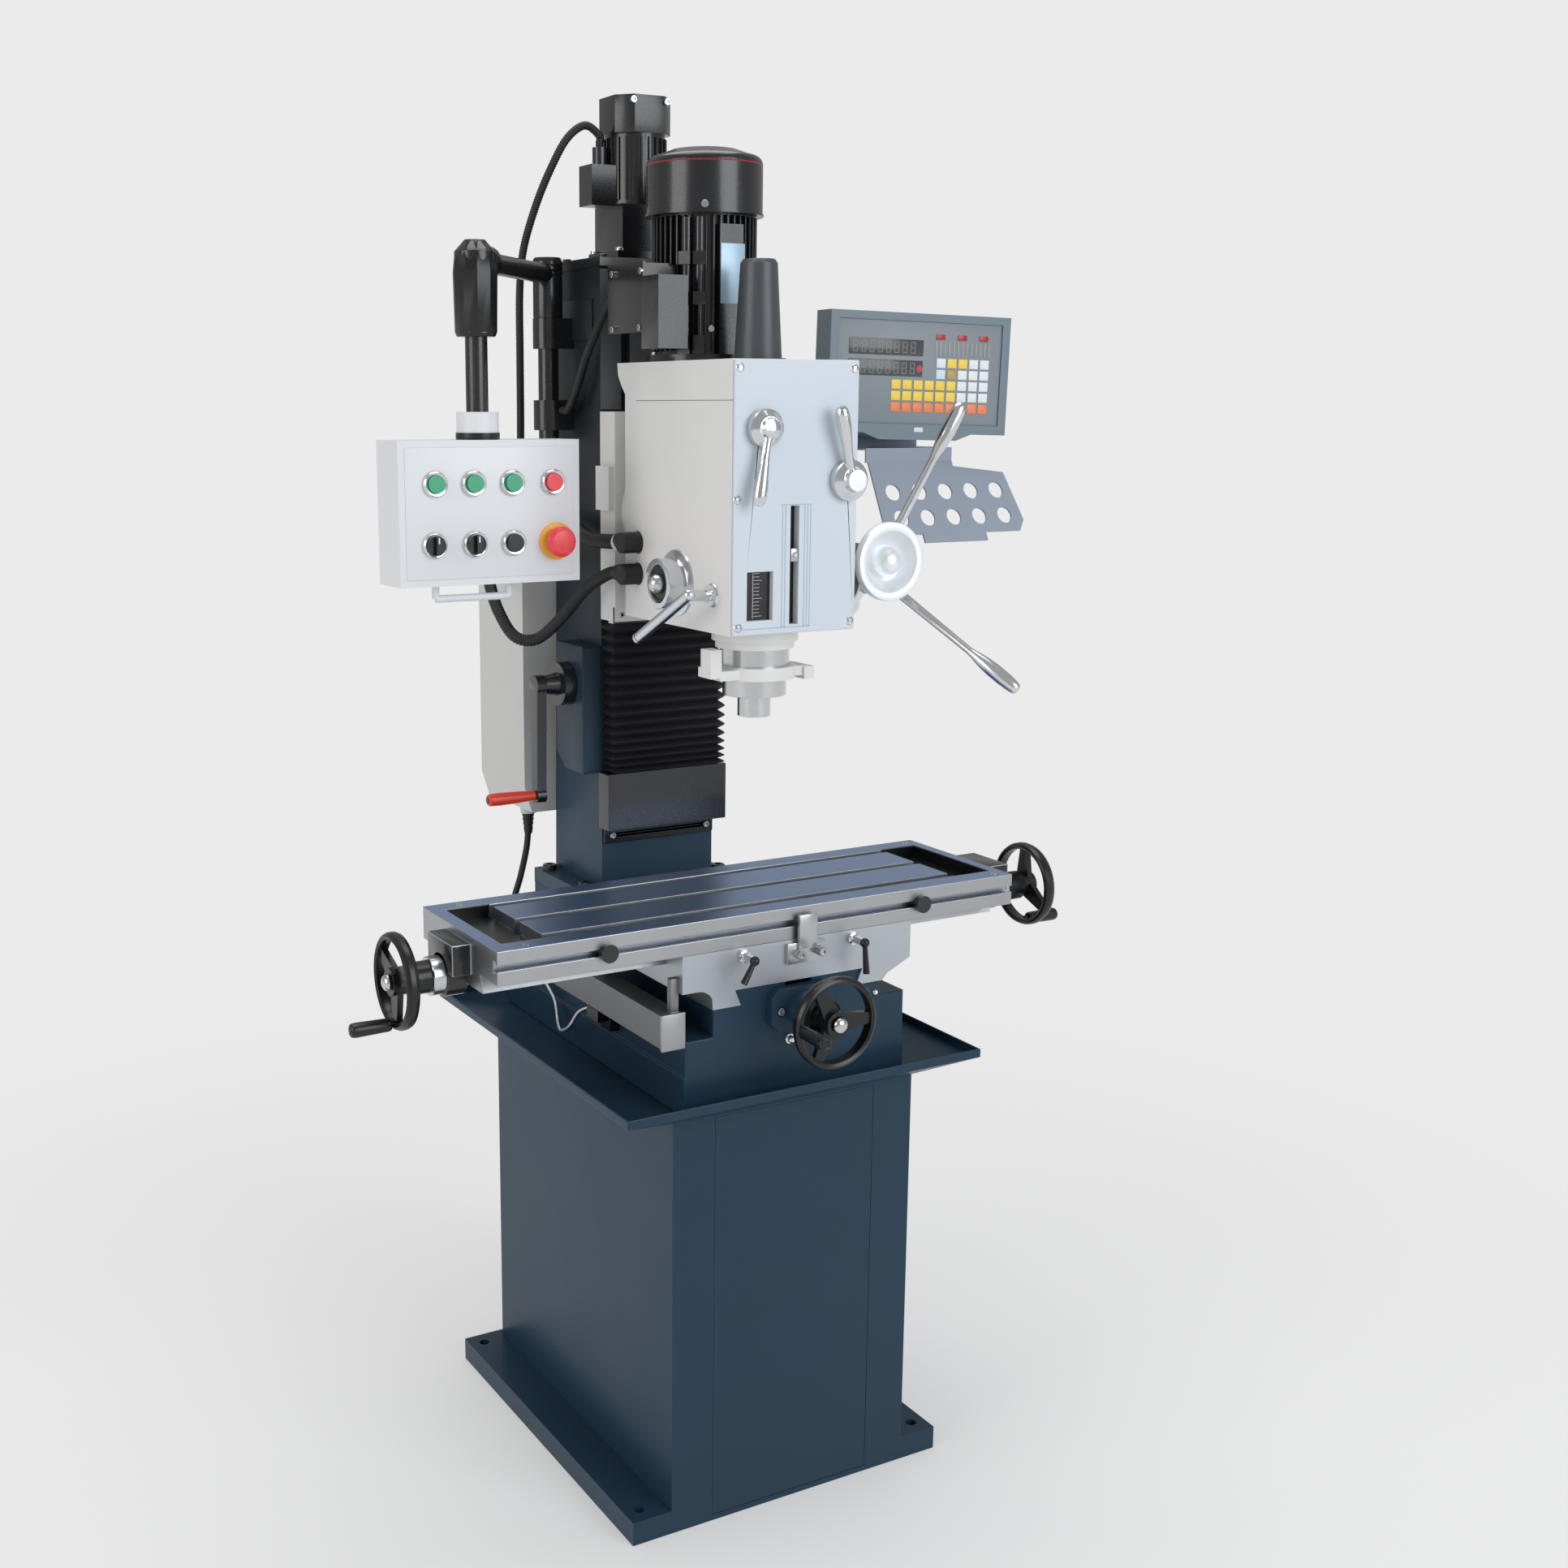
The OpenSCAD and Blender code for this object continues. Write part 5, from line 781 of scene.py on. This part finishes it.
# Readout: a moulded console with a recessed panel of membrane keys and two digit windows, on an arm
# that also carries the folded tool rack. The panel's parts are drawn flat and turned with the console.
dress("readout_arm", finish("rack_grey_enamel", "929cab", rough=0.4, bump=0.35, scale=300), 0.0006)
dress("readout_console", finish("blue_grey_moulding", "6f808b", rough=0.42, bump=0.2, scale=500), 0.004)
tilt = (Matrix.Translation((287, 92, 1481)) @ Matrix.Rotation(math.radians(-6), 4, "Z")
        @ Matrix.Rotation(math.radians(1.5), 4, "Y"))
plate("readout_panel", (14.2, 2.2, 14.2), (303.8, 3.4, 168.8), 0.3,
      finish("grey_membrane", "858e95", rough=0.45), "b_readout_console", tilt)
keys = {"white": [], "yellow": [], "orange": [], "tan": [], "light_blue": []}
for row in range(5):
    for column in range(4 if row < 2 else 0, 9):
        kind = "white"
        if row == 4:
            kind = "orange"
        elif row > 1 and column < 6 or row == 0 and column in (5, 6):
            kind = "yellow"
        elif row == 1 and column in (4, 5):
            kind = "light_blue" if column == 4 else "tan"
        keys[kind].append((117.6 + 19.6 * column, 107.7 - 17 * row))
for kind, code in (("white", "e6e9ec"), ("yellow", "f2d24b"), ("orange", "f0834f"), ("tan", "b79a55"),
                   ("light_blue", "cfe0ea")):
    pads = bmesh.new()
    for x, z in keys[kind]:
        block(pads, (x - 8.1, 1.4, z - 7), (x + 8.1, 2.4, z + 7), 0.5, tilt)
    piece("keys_" + kind, pads, finish("key_" + kind, code, rough=0.4, tone=0.02), "b_readout_console")
WINDOWS = (129, 98)  # heights of the two digit windows
SEGMENTS = (((0, -8), (1, 8)), ((7, -8), (8, 8)), ((0, 7.4), (8, 8.4)), ((0, -8.4), (8, -7.4)),
            ((0, -0.5), (8, 0.5)))
glass = bmesh.new()
for z in WINDOWS:
    block(glass, (33, 1.7, z - 12), (163, 2.4, z + 12), 0.6, tilt)
piece("digit_windows", glass, finish("smoked_window", "4a4c4e", rough=0.18, tone=0.02), "b_readout_console")
digits = bmesh.new()
for z in WINDOWS:
    for k in range(8):
        x = 40 + 14.4 * k
        for low, high in SEGMENTS:
            block(digits, (x + low[0], 1.5, z + low[1]), (x + high[0], 1.75, z + high[1]), 0, tilt)
piece("digit_segments", digits, finish("unlit_segments", "8b8d8c", rough=0.4), "b_readout_console")
tags = bmesh.new()
for x in (185, 224, 263):
    block(tags, (x, 1.3, 143), (x + 16, 2.3, 151), 0.4, tilt)
rod(tags, (157, 1.2, 98), (157, 2.3, 98), 5.5, turn=tilt)
piece("axis_tags", tags, finish("dark_red_lens", "b31c26", rough=0.3), "b_readout_console")
slots = bmesh.new()
for k in range(13):
    block(slots, (184 + 8 * k, 1.6, 118), (187.4 + 8 * k, 2.3, 140), 0.4, tilt)
piece("axis_bars", slots, finish("grey_bars", "9a9c9d", rough=0.4), "b_readout_console")
knob = bmesh.new()
rod(knob, (-26, 24, 96), (-0.5, 24, 96), 6, turn=tilt)
piece("console_knob", knob, plastic, "b_readout_console")
plate("console_blank_badge", (152, -0.6, 2), (168, 0.3, 9), 0.5, white, "b_readout_console", tilt)

low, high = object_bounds()
